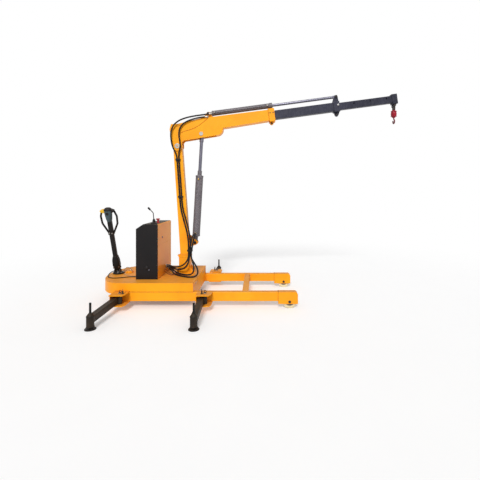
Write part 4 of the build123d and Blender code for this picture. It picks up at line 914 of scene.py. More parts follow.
@dataclass
class Hydraulics:
    """Hoses and cables, each in the stretches that the joints need, and two thin brown tubes on the deck that
    paint the hoses' shadows.

    Attributes:
        hose_radius: Radius of the hydraulic hoses.
        mast: Routes of the hoses clamped on the mast.
        head: Routes of the hoses from the mast over its head to the boom.
        deck: Routes of the hoses from the mast's foot to the cabinet.
        lift: Routes of the hoses to the lift cylinder's foot.
        hose_shadow_lines: Routes of two thin brown tubes on the deck, a painted shadow of the hoses.
        tiller: Route of the thick cable to the tiller.
        thin: Route of the thin cable beside it.
        clamped: X, Y and Z of each clamp's middle and its depth across.
    """

    hose_radius: float = 0.011
    clamped: Sequence[tuple[float, float, float, float]] = (
        (-1.097, -0.063, 2.000, 0.030), (-1.060, -0.063, 1.460, 0.030), (-0.912, -0.124, 0.690, 0.052))
    mast: Sequence[Sequence[Point]] = (
        ((-1.083, -0.063, 1.996), (-1.070, -0.065, 1.800), (-1.055, -0.063, 1.620), (-1.045, -0.065, 1.440),
         (-1.028, -0.066, 1.280), (-0.978, -0.076, 1.120), (-0.935, -0.088, 0.975), (-0.913, -0.098, 0.850),
         (-0.905, -0.110, 0.740), (-0.901, -0.118, 0.640)),
        ((-1.111, -0.063, 1.996), (-1.098, -0.065, 1.800), (-1.083, -0.063, 1.620), (-1.073, -0.065, 1.440),
         (-1.057, -0.066, 1.280), (-1.009, -0.078, 1.110), (-0.965, -0.092, 0.965), (-0.941, -0.104, 0.840),
         (-0.933, -0.116, 0.735), (-0.931, -0.124, 0.640)),
    )
    head: Sequence[Sequence[Point]] = (
        ((-1.111, -0.063, 1.996), (-1.115, -0.062, 2.056), (-1.137, -0.078, 2.112), (-1.171, -0.094, 2.185),
         (-1.189, -0.104, 2.280), (-1.193, -0.108, 2.390), (-1.163, -0.106, 2.485), (-1.083, -0.100, 2.560),
         (-0.973, -0.092, 2.604), (-0.853, -0.080, 2.632), (-0.733, -0.064, 2.652), (-0.673, -0.057, 2.662),
         (-0.618, -0.051, 2.672)),
        ((-1.083, -0.063, 1.996), (-1.087, -0.062, 2.052), (-1.077, -0.084, 2.118), (-1.055, -0.098, 2.180),
         (-1.063, -0.100, 2.260), (-1.079, -0.096, 2.340), (-1.075, -0.092, 2.430), (-1.033, -0.092, 2.505),
         (-0.957, -0.090, 2.556), (-0.853, -0.086, 2.592), (-0.745, -0.084, 2.614), (-0.673, -0.072, 2.622)),
    )
    deck: Sequence[Sequence[Point]] = (
        ((-0.901, -0.118, 0.640), (-0.899, -0.122, 0.590), (-0.851, -0.150, 0.522), (-0.801, -0.180, 0.460),
         (-0.779, -0.215, 0.400), (-0.795, -0.250, 0.356), (-0.849, -0.272, 0.345), (-0.923, -0.260, 0.344),
         (-1.003, -0.214, 0.344), (-1.082, -0.154, 0.344), (-1.150, -0.074, 0.344), (-1.196, 0.026, 0.345),
         (-1.230, 0.122, 0.350), (-1.295, 0.190, 0.362)),
        ((-0.931, -0.124, 0.640), (-0.930, -0.128, 0.595), (-0.953, -0.152, 0.535), (-0.997, -0.162, 0.490),
         (-1.057, -0.150, 0.464), (-1.126, -0.108, 0.448), (-1.186, -0.036, 0.440), (-1.230, 0.040, 0.437),
         (-1.295, 0.080, 0.438)),
        ((-0.893, -0.136, 0.640), (-0.888, -0.140, 0.590), (-0.868, -0.162, 0.540), (-0.842, -0.200, 0.470),
         (-0.838, -0.232, 0.410), (-0.872, -0.240, 0.374), (-0.940, -0.226, 0.362), (-1.030, -0.176, 0.364),
         (-1.104, -0.110, 0.372), (-1.172, -0.030, 0.386), (-1.222, 0.054, 0.402), (-1.295, 0.120, 0.416)),
        ((-0.915, -0.142, 0.640), (-0.914, -0.146, 0.595), (-0.926, -0.172, 0.520), (-0.960, -0.186, 0.460),
         (-1.016, -0.172, 0.432), (-1.086, -0.128, 0.418), (-1.156, -0.056, 0.416), (-1.216, 0.016, 0.420),
         (-1.295, 0.044, 0.424)),
    )
    lift: Sequence[Sequence[Point]] = (
        ((-0.8433, -0.086, 0.9278), (-0.8436, -0.104, 0.9272), (-0.846, -0.122, 0.914), (-0.853, -0.130, 0.876),
         (-0.866, -0.133, 0.800), (-0.882, -0.134, 0.716), (-0.893, -0.136, 0.640)),
        ((-0.870, -0.064, 0.905), (-0.876, -0.084, 0.902), (-0.884, -0.104, 0.880), (-0.892, -0.122, 0.838),
         (-0.902, -0.134, 0.774), (-0.912, -0.140, 0.706), (-0.915, -0.142, 0.640)),
    )
    # Painted shadow: thin brown tubes laid where the hoses' shadows fall on the deck.
    hose_shadow_lines: Sequence[Sequence[Point]] = (
        ((-1.302, -0.030, 0.402), (-1.282, -0.034, 0.400), (-1.248, -0.052, 0.372), (-1.200, -0.078, 0.344),
         (-1.150, -0.086, 0.3405), (-1.110, -0.072, 0.350), (-1.084, -0.050, 0.372)),
        ((-1.302, -0.060, 0.380), (-1.280, -0.066, 0.378), (-1.240, -0.092, 0.352), (-1.190, -0.122, 0.339),
         (-1.140, -0.120, 0.340), (-1.104, -0.090, 0.356), (-1.084, -0.060, 0.384)),
    )
    tiller: Sequence[Point] = (
        (-1.606, -0.240, 0.346), (-1.645, -0.240, 0.346), (-1.700, -0.224, 0.339), (-1.772, -0.238, 0.338),
        (-1.850, -0.282, 0.338), (-1.930, -0.300, 0.338), (-2.000, -0.274, 0.338), (-2.052, -0.216, 0.339),
        (-2.068, -0.150, 0.350), (-2.064, -0.096, 0.366), (-2.050, -0.056, 0.376), (-2.026, -0.030, 0.378),
    )
    thin: Sequence[Point] = (
        (-1.606, -0.210, 0.342), (-1.640, -0.210, 0.342), (-1.686, -0.200, 0.337), (-1.750, -0.172, 0.336),
        (-1.812, -0.132, 0.336), (-1.860, -0.088, 0.338), (-1.888, -0.050, 0.342),
    )

    def tubes(self, name: str, hoses: Sequence[Hose], finish: Finish = RUBBER) -> bpy.types.Object:
        """Makes one piece of several hoses.

        Args:
            name: The piece's name.
            hoses: The hoses.
            finish: Their finish.

        Returns:
            The piece.
        """
        draft = Draft()
        for hose in hoses:
            line = hose.line()
            draft.tube(line, hose.radius, 14)
            log.info("%s: a hose of %.3f m", name, sum((b - a).length for a, b in zip(line, line[1:])))
        return draft.piece(name, finish, Slot.RUBBER)

    def loose(self, name: str, routes: Sequence[Sequence[Point]], lengths: Sequence[float], radius: float,
              node: str | None = None, finish: Finish = RUBBER) -> list[bpy.types.Object]:
        """Args:
            name: The start of the pieces' names.
            routes: The route of each.
            lengths: The real length of each, in metres.
            radius: Their radius.
            node: The frame's node that they stand for.
            finish: Their finish.

        Returns:
            The pieces.
        """
        pieces = []
        for index, (route, length) in enumerate(zip(routes, lengths), start=1):
            hose = Hose(route, radius)
            piece = self.tubes(f"{name}_{index}", [hose], finish)
            line = [tuple(point) for point in hose.line()]
            pieces.append(piece)
        if node:
            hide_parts(node)
        return pieces

    def build(self) -> None:
        """Makes every hose and cable; the mast's hoses and the deck's brown tubes ride on what carries them,
        the others stay in place.
        """
        mast = self.tubes("hoses_on_mast", [Hose(route, self.hose_radius) for route in self.mast])
        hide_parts("mast_hoses")
        set_on(mast, Body.MAST)

        for piece in self.loose("hose_over_head", self.head, (1.10, 0.91), self.hose_radius, "head_hoses"):
            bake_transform(piece)
        lengths = (1.08, 0.58, 0.88, 0.61)
        for piece in self.loose("hose_on_deck", self.deck, lengths, self.hose_radius, "deck_hoses"):
            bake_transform(piece)
        for piece in self.loose("hose_to_cylinder", self.lift, (0.32, 0.30), self.hose_radius):
            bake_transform(piece)
        # Painted shadow: two thin brown tubes on the deck stand for the hoses' shadows.
        for piece in self.loose("deck_hose_shadow", self.hose_shadow_lines, (0.26, 0.28), 0.0035, finish=HOSE_SHADOW_SKIN):
            set_on(piece, Body.CHASSIS)
        cables = [
            *self.loose("tiller_cable_thick", [self.tiller], (0.69,), 0.006, "tiller_cable"),
            *self.loose("tiller_cable_thin", [self.thin], (0.34,), 0.004, finish=CABLE_SKIN),
        ]
        for piece in cables:
            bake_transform(piece)
        self.end_fittings()
        self.clamps()

    def end_fittings(self) -> None:
        """Crimped sleeves and nuts at the hoses' ends."""
        boom_ends = Draft()
        for *_, before, end in self.head:
            way = (Vector(before) - Vector(end)).normalized()
            at = axes(end, (0, 1, 0), way)
            boom_ends.lathe([(0.0125, -0.006), (0.0135, 0.0), (0.0135, 0.030), (0.0120, 0.034)], at)
            boom_ends.lathe([(0.0165, -0.016), (0.0165, -0.004)], at, steps=HEXAGON)
        boom_ends.mount("boom_hose_ends", STEEL, Slot.STEEL, Body.BOOM, bevel=0.0008)
        deck_ends = Draft()
        for *_, end in self.deck:
            at = axes(end, (0, 1, 0), (1, 0, 0))
            deck_ends.lathe([(0.0125, -0.002), (0.0135, 0.004), (0.0135, 0.040), (0.0120, 0.044)], at)
        deck_ends.mount("cabinet_hose_ends", STEEL, Slot.STEEL, Body.CHASSIS, bevel=0.0008)

    def clamps(self) -> None:
        """Black clamps that hold both hoses on the mast."""
        draft = Draft()
        for middle, depth, height, wide in self.clamped:
            draft.block((0.072, wide, 0.026), Matrix.Translation((middle, depth, height)))
            draft.lathe([(0.006, 0.0), (0.006, 0.010), (0.004, 0.012)],
                        axes((middle, depth - 0.015, height), (1, 0, 0), (0, -1, 0)), steps=HEXAGON)
        draft.mount("hose_clamps", DARK_PLASTIC, Slot.RUBBER, Body.MAST, bevel=0.004)


@dataclass
class Chassis:
    """Welds, lock pins and fasteners of the chassis.

    Attributes:
        bracket_pins: X and Y of each outrigger's hinge pin on the right side, and how far ahead of
            it the lock pin stands.
        plate_top: Height of the brackets' top plates.
        ring: Radius of a hinge pin's ring.
        bar: Radius of that ring's wire.
        deck_top: Height of the deck.
        foot_half: Half width of the pedestal's foot.
        leg_faces: Y of a leg's inner and outer face.
        leg_top: Height of a leg's top.
        head_x: Where a leg's wheel head starts.
        cross_member: X of the cross member's rear and front face.
        skirt_y: Y of the skirt's outer face.
    """

    bracket_pins: Sequence[Point] = ((-1.705, -0.64, 0.044), (-0.618, -0.64, -0.036))
    plate_top: float = 0.228
    ring: float = 0.016
    bar: float = 0.0035
    deck_top: float = 0.332
    foot_half: float = 0.0795
    leg_faces: tuple[float, float] = (0.459, 0.541)
    leg_top: float = 0.2165
    head_x: float = 0.3285
    cross_member: tuple[float, float] = (-0.146, -0.064)
    skirt_y: float = 0.5405

    def build(self) -> None:
        """Makes the pieces of the chassis."""
        self.lock_pins()
        self.welds()
        self.front_wall_bolts()

    def lock_pins(self) -> None:
        """Lock pins and pivot pins with their rings on the brackets' top plates."""
        draft = Draft()
        for pin_x, pin_y, ahead in self.bracket_pins:
            for side in (1, -1):
                y = pin_y * side
                draft.lathe([(0.019, 0.0), (0.019, 0.005), (0.0125, 0.009), (0.0125, 0.014), (0.010, 0.016)],
                            Matrix.Translation((pin_x, y, self.plate_top + 0.001)))
                draft.torus(self.ring, self.bar, axes((pin_x + 0.006, y, self.plate_top + 0.028),
                                                      (1, 0, 0), (0.25 * side, 1, 0.3)))
                draft.lathe([(0.015, 0.0), (0.015, 0.005), (0.009, 0.009), (0.009, 0.034), (0.0065, 0.038)],
                            Matrix.Translation((pin_x + ahead, y - 0.018 * side, self.plate_top + 0.001)))
                draft.torus(0.012, 0.003, axes((pin_x + ahead, y - 0.018 * side, self.plate_top + 0.046),
                                               (1, 0, 0), (1, 0.4 * side, 0)))
        draft.mount("bracket_lock_pins", DARK_STEEL, Slot.STEEL, Body.CHASSIS)

    def welds(self) -> None:
        """Weld beads round the pedestal, the brackets, the leg heads and the cross member."""
        beads = PatternSet("weld_bead", WELD_AND_EDGE_SHADOW, Slot.YELLOW)
        foot = rectangle(MAST_X, 0.0, self.foot_half, self.foot_half)
        lines: list[list[Point]] = [[(x, y, self.deck_top) for x, y in foot]]
        for side in (-1, 1):
            inner, outer = self.leg_faces[0] * side, self.skirt_y * side
            for x in self.cross_member:
                lines.append([(x, inner, 0.118), (x, inner, 0.195)])
            lines.append([(x, inner, 0.196) for x in self.cross_member])
            for pin_x, *_ in self.bracket_pins:
                for height in (0.083, 0.229):
                    lines.append([(pin_x - 0.104, outer, height), (pin_x + 0.083, outer, height)])
            for y in self.leg_faces:
                lines.append([(self.head_x, y * side, z) for z in (0.100, self.leg_top)])
            lines.append([(self.head_x, y * side, self.leg_top) for y in self.leg_faces])
            lines.append([(-1.750, outer, 0.217), (-0.790, outer, 0.217)])
        beads.put({"Pitch": 0.0085, "Radius": 0.0042}, edges=lines)
        beads.piece("chassis_welds", Body.CHASSIS)

    def front_wall_bolts(self) -> None:
        """Two rows of bolts on the wall that closes the chassis in front."""
        bolts = PatternSet("bolt_row", STEEL, Slot.STEEL)
        for y in (-0.36, 0.24):
            bolts.put({"Count": 3, "Spacing": 0.06, "Radius": 0.007, "Height": 0.006, "Seed": 4},
                      axes((-0.7885, y, 0.285), (0, 1, 0), (1, 0, 0)))
        bolts.piece("front_wall_bolts", Body.CHASSIS)


@dataclass
class Cabinet:
    """The battery cabinet's mat, fasteners, locks and controls.

    Attributes:
        rear: X of its rear face.
        front: X of its front face.
        half: Half its width.
        top: Height of its top.
        lock_y: Y of the door's lock.
        lock_z: Height of the door's lock.
        side_lock: X and Z of the side panel's lock.
        socket: X and Z of the charging socket.
        valve_x: X of the valve's boot.
        valve_y: Y of the valve's boot.
        base: Height of the deck that it stands on.
    """

    rear: float = -1.606
    front: float = -1.307
    half: float = 0.35
    top: float = 1.086
    lock_y: float = -0.13
    lock_z: float = 0.882
    side_lock: tuple[float, float] = (-1.426, 0.461)
    socket: tuple[float, float] = (-1.456, 0.492)
    valve_x: float = -1.379
    valve_y: float = -0.28
    base: float = 0.332

    def build(self) -> None:
        """Makes the pieces of the cabinet."""
        self.top_mat()
        self.panel_screws()
        self.locks()
        self.charge_socket()
        self.lever_parts()
        self.welds()

    def top_mat(self) -> None:
        """A thin dark mat on the cabinet's top, cut round the controls."""
        draft = Draft()
        rear, front, half = self.rear + 0.104, self.front - 0.012, self.half - 0.004
        outline = [(rear, -half), (front, -half), (front, half), (rear, half)]
        draft.prism(outline, 0.0015, Matrix.Translation((0, 0, self.top + 0.0008)))
        draft.mount("cabinet_top_mat", TOP_MAT, Slot.PANEL, Body.CHASSIS)

    def panel_screws(self) -> None:
        """Rows of small screws along the edges of both side panels."""
        screws = PatternSet("bolt_row", DARK_STEEL, Slot.STEEL)
        values = {"Radius": 0.0045, "Height": 0.003, "Seed": 8}
        for side in (-1, 1):
            face = (self.half + 0.0002) * side
            out = (0, side, 0)
            for x, tall in ((self.rear + 0.014, 4), (self.front - 0.014, 5)):
                column = axes((x, face, 0.362), (0, 0, 1), out)
                screws.put({"Count": tall, "Spacing": 0.165, **values}, column)
            start = self.rear + 0.120 if side > 0 else self.front - 0.019
            row = axes((start, face, self.top - 0.016), (side, 0, 0), out)
            screws.put({"Count": 2, "Spacing": 0.16, **values}, row)
        screws.piece("panel_screws", Body.CHASSIS)
        bright = PatternSet("bolt_row", STEEL, Slot.STEEL)
        for height in (0.882, 0.457):
            for side in (-1, 1):
                bright.put({"Count": 1, "Radius": 0.006, "Height": 0.005, "Seed": 9},
                           axes((self.front, side * (self.half - 0.016), height), (0, 1, 0), (1, 0, 0)))
        bright.piece("door_edge_bolts", Body.CHASSIS)

    def locks(self) -> None:
        """A quarter turn lock on the upper door and one on the side panel."""
        draft = Draft()
        at = axes((self.front, self.lock_y, self.lock_z), (0, 0, 1), (1, 0, 0))
        draft.lathe([(0.0135, 0.0), (0.0135, 0.003), (0.011, 0.006), (0.004, 0.0065)], at)
        draft.block((0.015, 0.003, 0.003), at @ Matrix.Translation((0, 0, 0.007)))
        x, z = self.side_lock
        side = axes((x, -self.half, z), (0, 0, 1), (0, -1, 0))
        draft.lathe([(0.010, 0.0), (0.010, 0.004), (0.007, 0.007), (0.003, 0.0075)], side)
        draft.mount("cabinet_locks", CHROME, Slot.ROD, Body.CHASSIS)

    def charge_socket(self) -> None:
        """A round black charging socket with its flap on the side panel."""
        draft = Draft()
        x, z = self.socket
        at = axes((x, -self.half, z), (0, 0, 1), (0, -1, 0))
        draft.lathe([(0.024, 0.0), (0.024, 0.004), (0.020, 0.007), (0.020, 0.011), (0.017, 0.013)], at)
        draft.block((0.010, 0.022, 0.006), at @ Matrix.Translation((0.024, 0, 0.006)))
        draft.mount("charge_socket", DARK_PLASTIC, Slot.PANEL, Body.CHASSIS, bevel=0.001)

    def lever_parts(self) -> None:
        """The rubber grip and boot of the valve lever, and the stop button."""
        boot = Draft()
        profile = [(0.024, 0.033), (0.025, 0.038), (0.017, 0.044), (0.021, 0.049), (0.014, 0.055),
                   (0.017, 0.060), (0.010, 0.067), (0.0075, 0.074)]
        boot.lathe(profile, Matrix.Translation((self.valve_x - 0.0015, self.valve_y, self.top)))
        start = Vector((self.valve_x - 0.054, self.valve_y, 1.2825))
        way = Vector((-0.7, 0, 0.7)).normalized()
        boot.lathe([(0.010, -0.004), (0.0128, 0.0), (0.0118, 0.010), (0.0132, 0.022), (0.0125, 0.036),
                    (0.0095, 0.0415), (0.003, 0.043)], axes(start, (0, 1, 0), way))
        boot.mount("lever_rubber", RUBBER, Slot.RUBBER, Body.CHASSIS)
        button = Draft()
        button.lathe([(0.026, 0.0), (0.026, 0.006), (0.017, 0.012), (0.0125, 0.022), (0.0125, 0.042),
                      (0.017, 0.047), (0.028, 0.050), (0.030, 0.055), (0.028, 0.062), (0.018, 0.067),
                      (0.004, 0.0685)],
                     Matrix.Translation((self.front - 0.056, -0.15, self.top)))
        stop = button.piece("stop_button", RED_PLASTIC, Slot.RED_PLASTIC)
        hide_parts("emergency_stop")
        set_on(stop, Body.CHASSIS)

    def welds(self) -> None:
        """The beads along the cabinet's foot, in front and behind."""
        beads = PatternSet("weld_bead", WELD_AND_EDGE_SHADOW, Slot.YELLOW)
        half = self.half - 0.005
        feet = [[(x, -y, self.base), (x, y, self.base)] for x, y in ((self.front, half), (self.rear, -half))]
        beads.put({"Pitch": 0.012, "Radius": 0.0035}, edges=feet)
        beads.piece("cabinet_welds", Body.CHASSIS)


@dataclass
class DeckFittings:
    """The cable loop and the screws by the dome on the deck, beside the turntable."""

    dome: Point = (-1.852, 0.083, 0.356)

    def build(self) -> None:
        """Makes the small cable loop that stands by the dome and the dome's screws."""
        x, y, z = self.dome
        route = [(x + 0.052, y - 0.040, 0.340), (x + 0.040, y - 0.030, 0.372),
                 (x + 0.010, y - 0.020, 0.400), (x - 0.040, y - 0.016, 0.410),
                 (x - 0.066, y - 0.020, 0.384), (x - 0.070, y - 0.030, 0.352),
                 (x - 0.068, y - 0.040, 0.338)]
        draft = Draft()
        draft.tube(Hose(route).line(), 0.0045, 10)
        draft.mount("dome_cable_loop", CABLE_SKIN, Slot.RUBBER, Body.CHASSIS)
        screws = PatternSet("bolt_circle", STEEL, Slot.STEEL)
        screws.put({"Count": 4, "Circle": 0.028, "Radius": 0.005, "Height": 0.004},
                   Matrix.Translation((x, y, z - 0.0002)))
        screws.piece("dome_screws", Body.CHASSIS)


@dataclass
class Tiller:
    """The steering head, its switches and the turntable's bolts.

    Attributes:
        hinge: Middle of the arm's hinge.
        lean: How far the arm leans from upright.
        oval_steps: Points round each ring of the head.
        squareness: Power that rounds the head's ovals, 1 for plain ellipses.
    """

    hinge: Point = (-1.985, -0.038, 0.398)
    lean: float = math.radians(20)
    oval_steps: int = 36
    squareness: float = 0.8

    def place(self) -> Matrix:
        """The tiller's axes: X along its hinge, Z along its arm."""
        direction = (0.0, -math.sin(self.lean), math.cos(self.lean))
        return axes(self.hinge, (1, 0, 0), direction)

    def build(self) -> None:
        """Makes the pieces of the tiller."""
        self.head()
        self.foot_cover()
        self.switches()
        self.arm_bolts()
        self.turntable_bolts()

    def head(self) -> None:
        """The moulded head: oval rings from its neck to its dark cap."""
        body, cap = Draft(), Draft()
        self.oval(body, ((0.772, 0.027, 0.027), (0.780, 0.032, 0.034), (0.815, 0.039, 0.040),
                         (0.860, 0.045, 0.043), (0.905, 0.049, 0.044), (0.936, 0.049, 0.043)))
        self.oval(cap, ((0.937, 0.049, 0.040), (0.941, 0.054, 0.045), (0.955, 0.050, 0.042),
                        (0.968, 0.037, 0.032), (0.973, 0.016, 0.014)))
        piece = body.piece("tiller_head_body", HEAD_PLASTIC, Slot.PLASTIC)
        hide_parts("tiller_head")
        set_on(piece, Body.TILLER)
        cap.mount("tiller_head_cap", DARK_PLASTIC, Slot.PLASTIC, Body.TILLER)

    def oval(self, draft: Draft, rings: Sequence[Point]) -> None:
        """Adds an oval skin through rings.

        Args:
            draft: What the skin is added to.
            rings: Distance from the hinge, half width and half depth of each ring.
        """
        verts = []
        for distance, wide, deep in rings:
            for step in range(self.oval_steps):
                angle = math.tau * step / self.oval_steps
                x, y = math.cos(angle), math.sin(angle)
                x = math.copysign(abs(x) ** self.squareness, x)
                y = math.copysign(abs(y) ** self.squareness, y)
                verts.append((wide * x, deep * y, distance))
        draft.add(verts, skin(len(rings), self.oval_steps), self.place())

    def foot_cover(self) -> None:
        """The thick black cover round the foot of the arm."""
        cover = Draft()
        outline = [(-0.042, 0.058), (0.042, 0.058), (0.050, 0.080), (0.046, 0.170),
                   (0.028, 0.235), (-0.028, 0.235), (-0.046, 0.170), (-0.050, 0.080)]
        cover.prism(outline, 0.066, self.place() @ Matrix.Rotation(math.radians(90), 4, "X"))
        cover.mount("tiller_foot_cover", BLACK, Slot.BLACK, Body.TILLER, bevel=0.008)

    def switches(self) -> None:
        """The yellow lift rocker on one end, a smaller dark copy on the other as painted shade, and the belly
        button.
        """
        yellow, dark, button = Draft(), Draft(), Draft()
        wing = [(-0.040, 0.905), (-0.062, 0.900), (-0.090, 0.908), (-0.108, 0.924), (-0.104, 0.938),
                (-0.084, 0.946), (-0.060, 0.952), (-0.040, 0.950)]
        upright = self.place() @ Matrix.Rotation(math.radians(90), 4, "X")
        yellow.prism(wing, 0.046, upright)
        # Painted shade: the second rocker copies the yellow one's outline in dark plastic, as it looked shaded.
        dark.prism([(-x * 0.72 + 0.012, z + 0.004) for x, z in reversed(wing)], 0.040, upright)
        button.lathe([(0.020, 0.0), (0.019, 0.006), (0.012, 0.010), (0.004, 0.011)],
                     self.place() @ axes((0, -0.043, 0.900), (1, 0, 0), (0, -1, 0)))
        yellow.mount("tiller_rocker_yellow", ROCKER_YELLOW, Slot.PLASTIC, Body.TILLER, bevel=0.006)
        dark.mount("tiller_rocker_shaded", DARK_PLASTIC, Slot.PLASTIC, Body.TILLER, bevel=0.006)
        button.mount("tiller_button", DARK_PLASTIC, Slot.PLASTIC, Body.TILLER)

    def arm_bolts(self) -> None:
        """Bolts at the foot and the head of the arm."""
        place = self.place()
        bolts = PatternSet("bolt_row", STEEL, Slot.STEEL)
        for along, across, depth in ((0.062, 0.036, -0.026), (0.600, 0.020, -0.030)):
            bolts.put({"Count": 2, "Spacing": 2 * across, "Radius": 0.007, "Height": 0.006, "Seed": 12},
                      place @ axes((-across, depth, along), (1, 0, 0), (0, -1, 0)))
        bolts.piece("tiller_bolts", Body.TILLER)

    def turntable_bolts(self) -> None:
        """Bolts on the turntable and the hinge pin's nuts."""
        bolts = PatternSet("bolt_circle", STEEL, Slot.STEEL)
        bolts.put({"Count": 8, "Circle": 0.066, "Radius": 0.006, "Height": 0.006},
                  Matrix.Translation((-1.985, 0, 0.354)) @ Matrix.Rotation(math.radians(11), 4, "Z"))
        x, y, z = self.hinge
        for side in (-1, 1):
            bolts.put({"Count": 1, "Circle": 0.0, "Radius": 0.010, "Height": 0.009},
                      axes((x + side * 0.0452, y, z), (0, 1, 0), (side, 0, 0)))
        bolts.piece("turntable_bolts", Body.STEERING)


@dataclass
class Outrigger:
    """The bands on one outrigger's jack.

    Attributes:
        name: Which corner it is.
        pin_x: Where its hinge pin is along the crane.
        splay: Angle of the arm from square, in degrees.
        side: -1 for the right side and 1 for the left.
    """

    name: str
    pin_x: float
    splay: float
    side: int
    reach: float = 0.575
    offset: float = 0.048
    pin_y: float = 0.64

    def foot(self) -> tuple[float, float]:
        """X and Y of the jack's axis."""
        turn = math.radians(self.splay)
        x = self.pin_x - self.offset * math.cos(turn) + self.reach * math.sin(turn)
        y = self.side * (self.pin_y + self.offset * math.sin(turn) + self.reach * math.cos(turn))
        return x, y

    def build(self) -> None:
        """Makes the bands round the top and the bottom of the jack's sleeve."""
        x, y = self.foot()
        collar = Draft()
        for height in (0.144, 0.030):
            collar.torus(0.0415, 0.0035, Matrix.Translation((x, y, height)))
        collar.mount(f"jack_bands_{self.name}", BLACK, Slot.BLACK, Body(f"arm_{self.name}"))


@dataclass
class Mast:
    """The mast's caps and beads, with the lift cylinder's fittings.

    Attributes:
        foot_z: Top of the mast's foot plate.
        foot_half: Half sizes of the mast's section at its foot, in X and Y.
        pivot: X and Z of the boom's pivot.
        lift_foot: X and Z of the lift cylinder's lower pin.
        lift_pin: The cylinder's upper pin, in the boom's axes.
    """

    foot_z: float = 0.624
    foot_half: tuple[float, float] = (0.0682, 0.0507)
    pivot: tuple[float, float] = (-1.109, 2.199)
    lift_foot: tuple[float, float] = (-0.851, 0.793)
    lift_pin: tuple[float, float] = (0.369, 0.129)

    def lift_axis(self, distance: float) -> Matrix:
        """A place on the lift cylinder's axis, its Z along the cylinder and its X to the right side.

        Args:
            distance: How far it is from the foot's pin.

        Returns:
            The place.
        """
        foot = Vector((self.lift_foot[0], 0.0, self.lift_foot[1]))
        along = (Vector(BOOM_AXES.point(*self.lift_pin)) - foot).normalized()
        return axes(foot + along * distance, (0, -1, 0), along)

    def build(self) -> None:
        """Makes the pieces of the mast and of the lift cylinder."""
        self.pivot_caps()
        self.beads()
        self.cylinder_fittings()

    def pivot_caps(self) -> None:
        """Round caps with a bolt on both ends of the boom's pivot, and keepers at the lift pin."""
        caps = Draft()
        cap = [(0.030, 0.0), (0.030, 0.004), (0.026, 0.007)]
        head = [(0.011, 0.006), (0.011, 0.014), (0.009, 0.016)]
        x, z = self.pivot
        caps.ends((x, 0.0, z), 0.0652, ((cap, ROUND), (head, HEXAGON)))
        caps.mount("pivot_caps", YELLOW, Slot.YELLOW, Body.BOOM, bevel=0.001)
        keepers = Draft()
        x, z = self.lift_foot
        keepers.ends((x, 0.0, z), 0.0555, (([(0.021, 0.0), (0.021, 0.005), (0.018, 0.007)], ROUND),))
        keepers.mount("lift_foot_keepers", DARK_STEEL, Slot.STEEL, Body.MAST, bevel=0.0008)

    def beads(self) -> None:
        """The weld bead round the mast's foot."""
        beads = PatternSet("weld_bead", WELD_AND_EDGE_SHADOW, Slot.YELLOW)
        foot = [(x, y, self.foot_z + 0.001) for x, y in rectangle(MAST_X, 0.0, *self.foot_half)]
        beads.put({"Pitch": 0.008, "Radius": 0.004}, edges=[foot])
        beads.piece("mast_beads", Body.MAST)

    def cylinder_fittings(self) -> None:
        """Ports, nuts and end bands of the lift cylinder."""
        bands = Draft()
        for distance, outer, half in ((0.968, 0.0562, 0.013), (0.101, 0.0560, 0.010)):
            level = half - 0.003
            profile = [(0.0545, -half), (outer, -level), (outer, level), (0.0545, half)]
            bands.lathe(profile, self.lift_axis(distance))
        bands.mount("lift_barrel_bands", CYLINDER, Slot.CYLINDER, Body.LIFT_BARREL)
        ports, nuts = Draft(), Draft()
        for distance in (0.135, 0.925):
            seat = self.lift_axis(distance) @ Matrix.Rotation(math.radians(90), 4, "Y")
            ports.lathe([(0.016, 0.050), (0.016, 0.062), (0.0145, 0.064)], seat)
            nuts.lathe([(0.0125, 0.064), (0.0125, 0.076)], seat, steps=HEXAGON)
            nuts.lathe([(0.0085, 0.076), (0.0085, 0.084)], seat)
        ports.mount("lift_ports", CYLINDER, Slot.CYLINDER, Body.LIFT_BARREL)
        nuts.mount("lift_port_nuts", BRASS, Slot.STEEL, Body.LIFT_BARREL, bevel=0.0006)


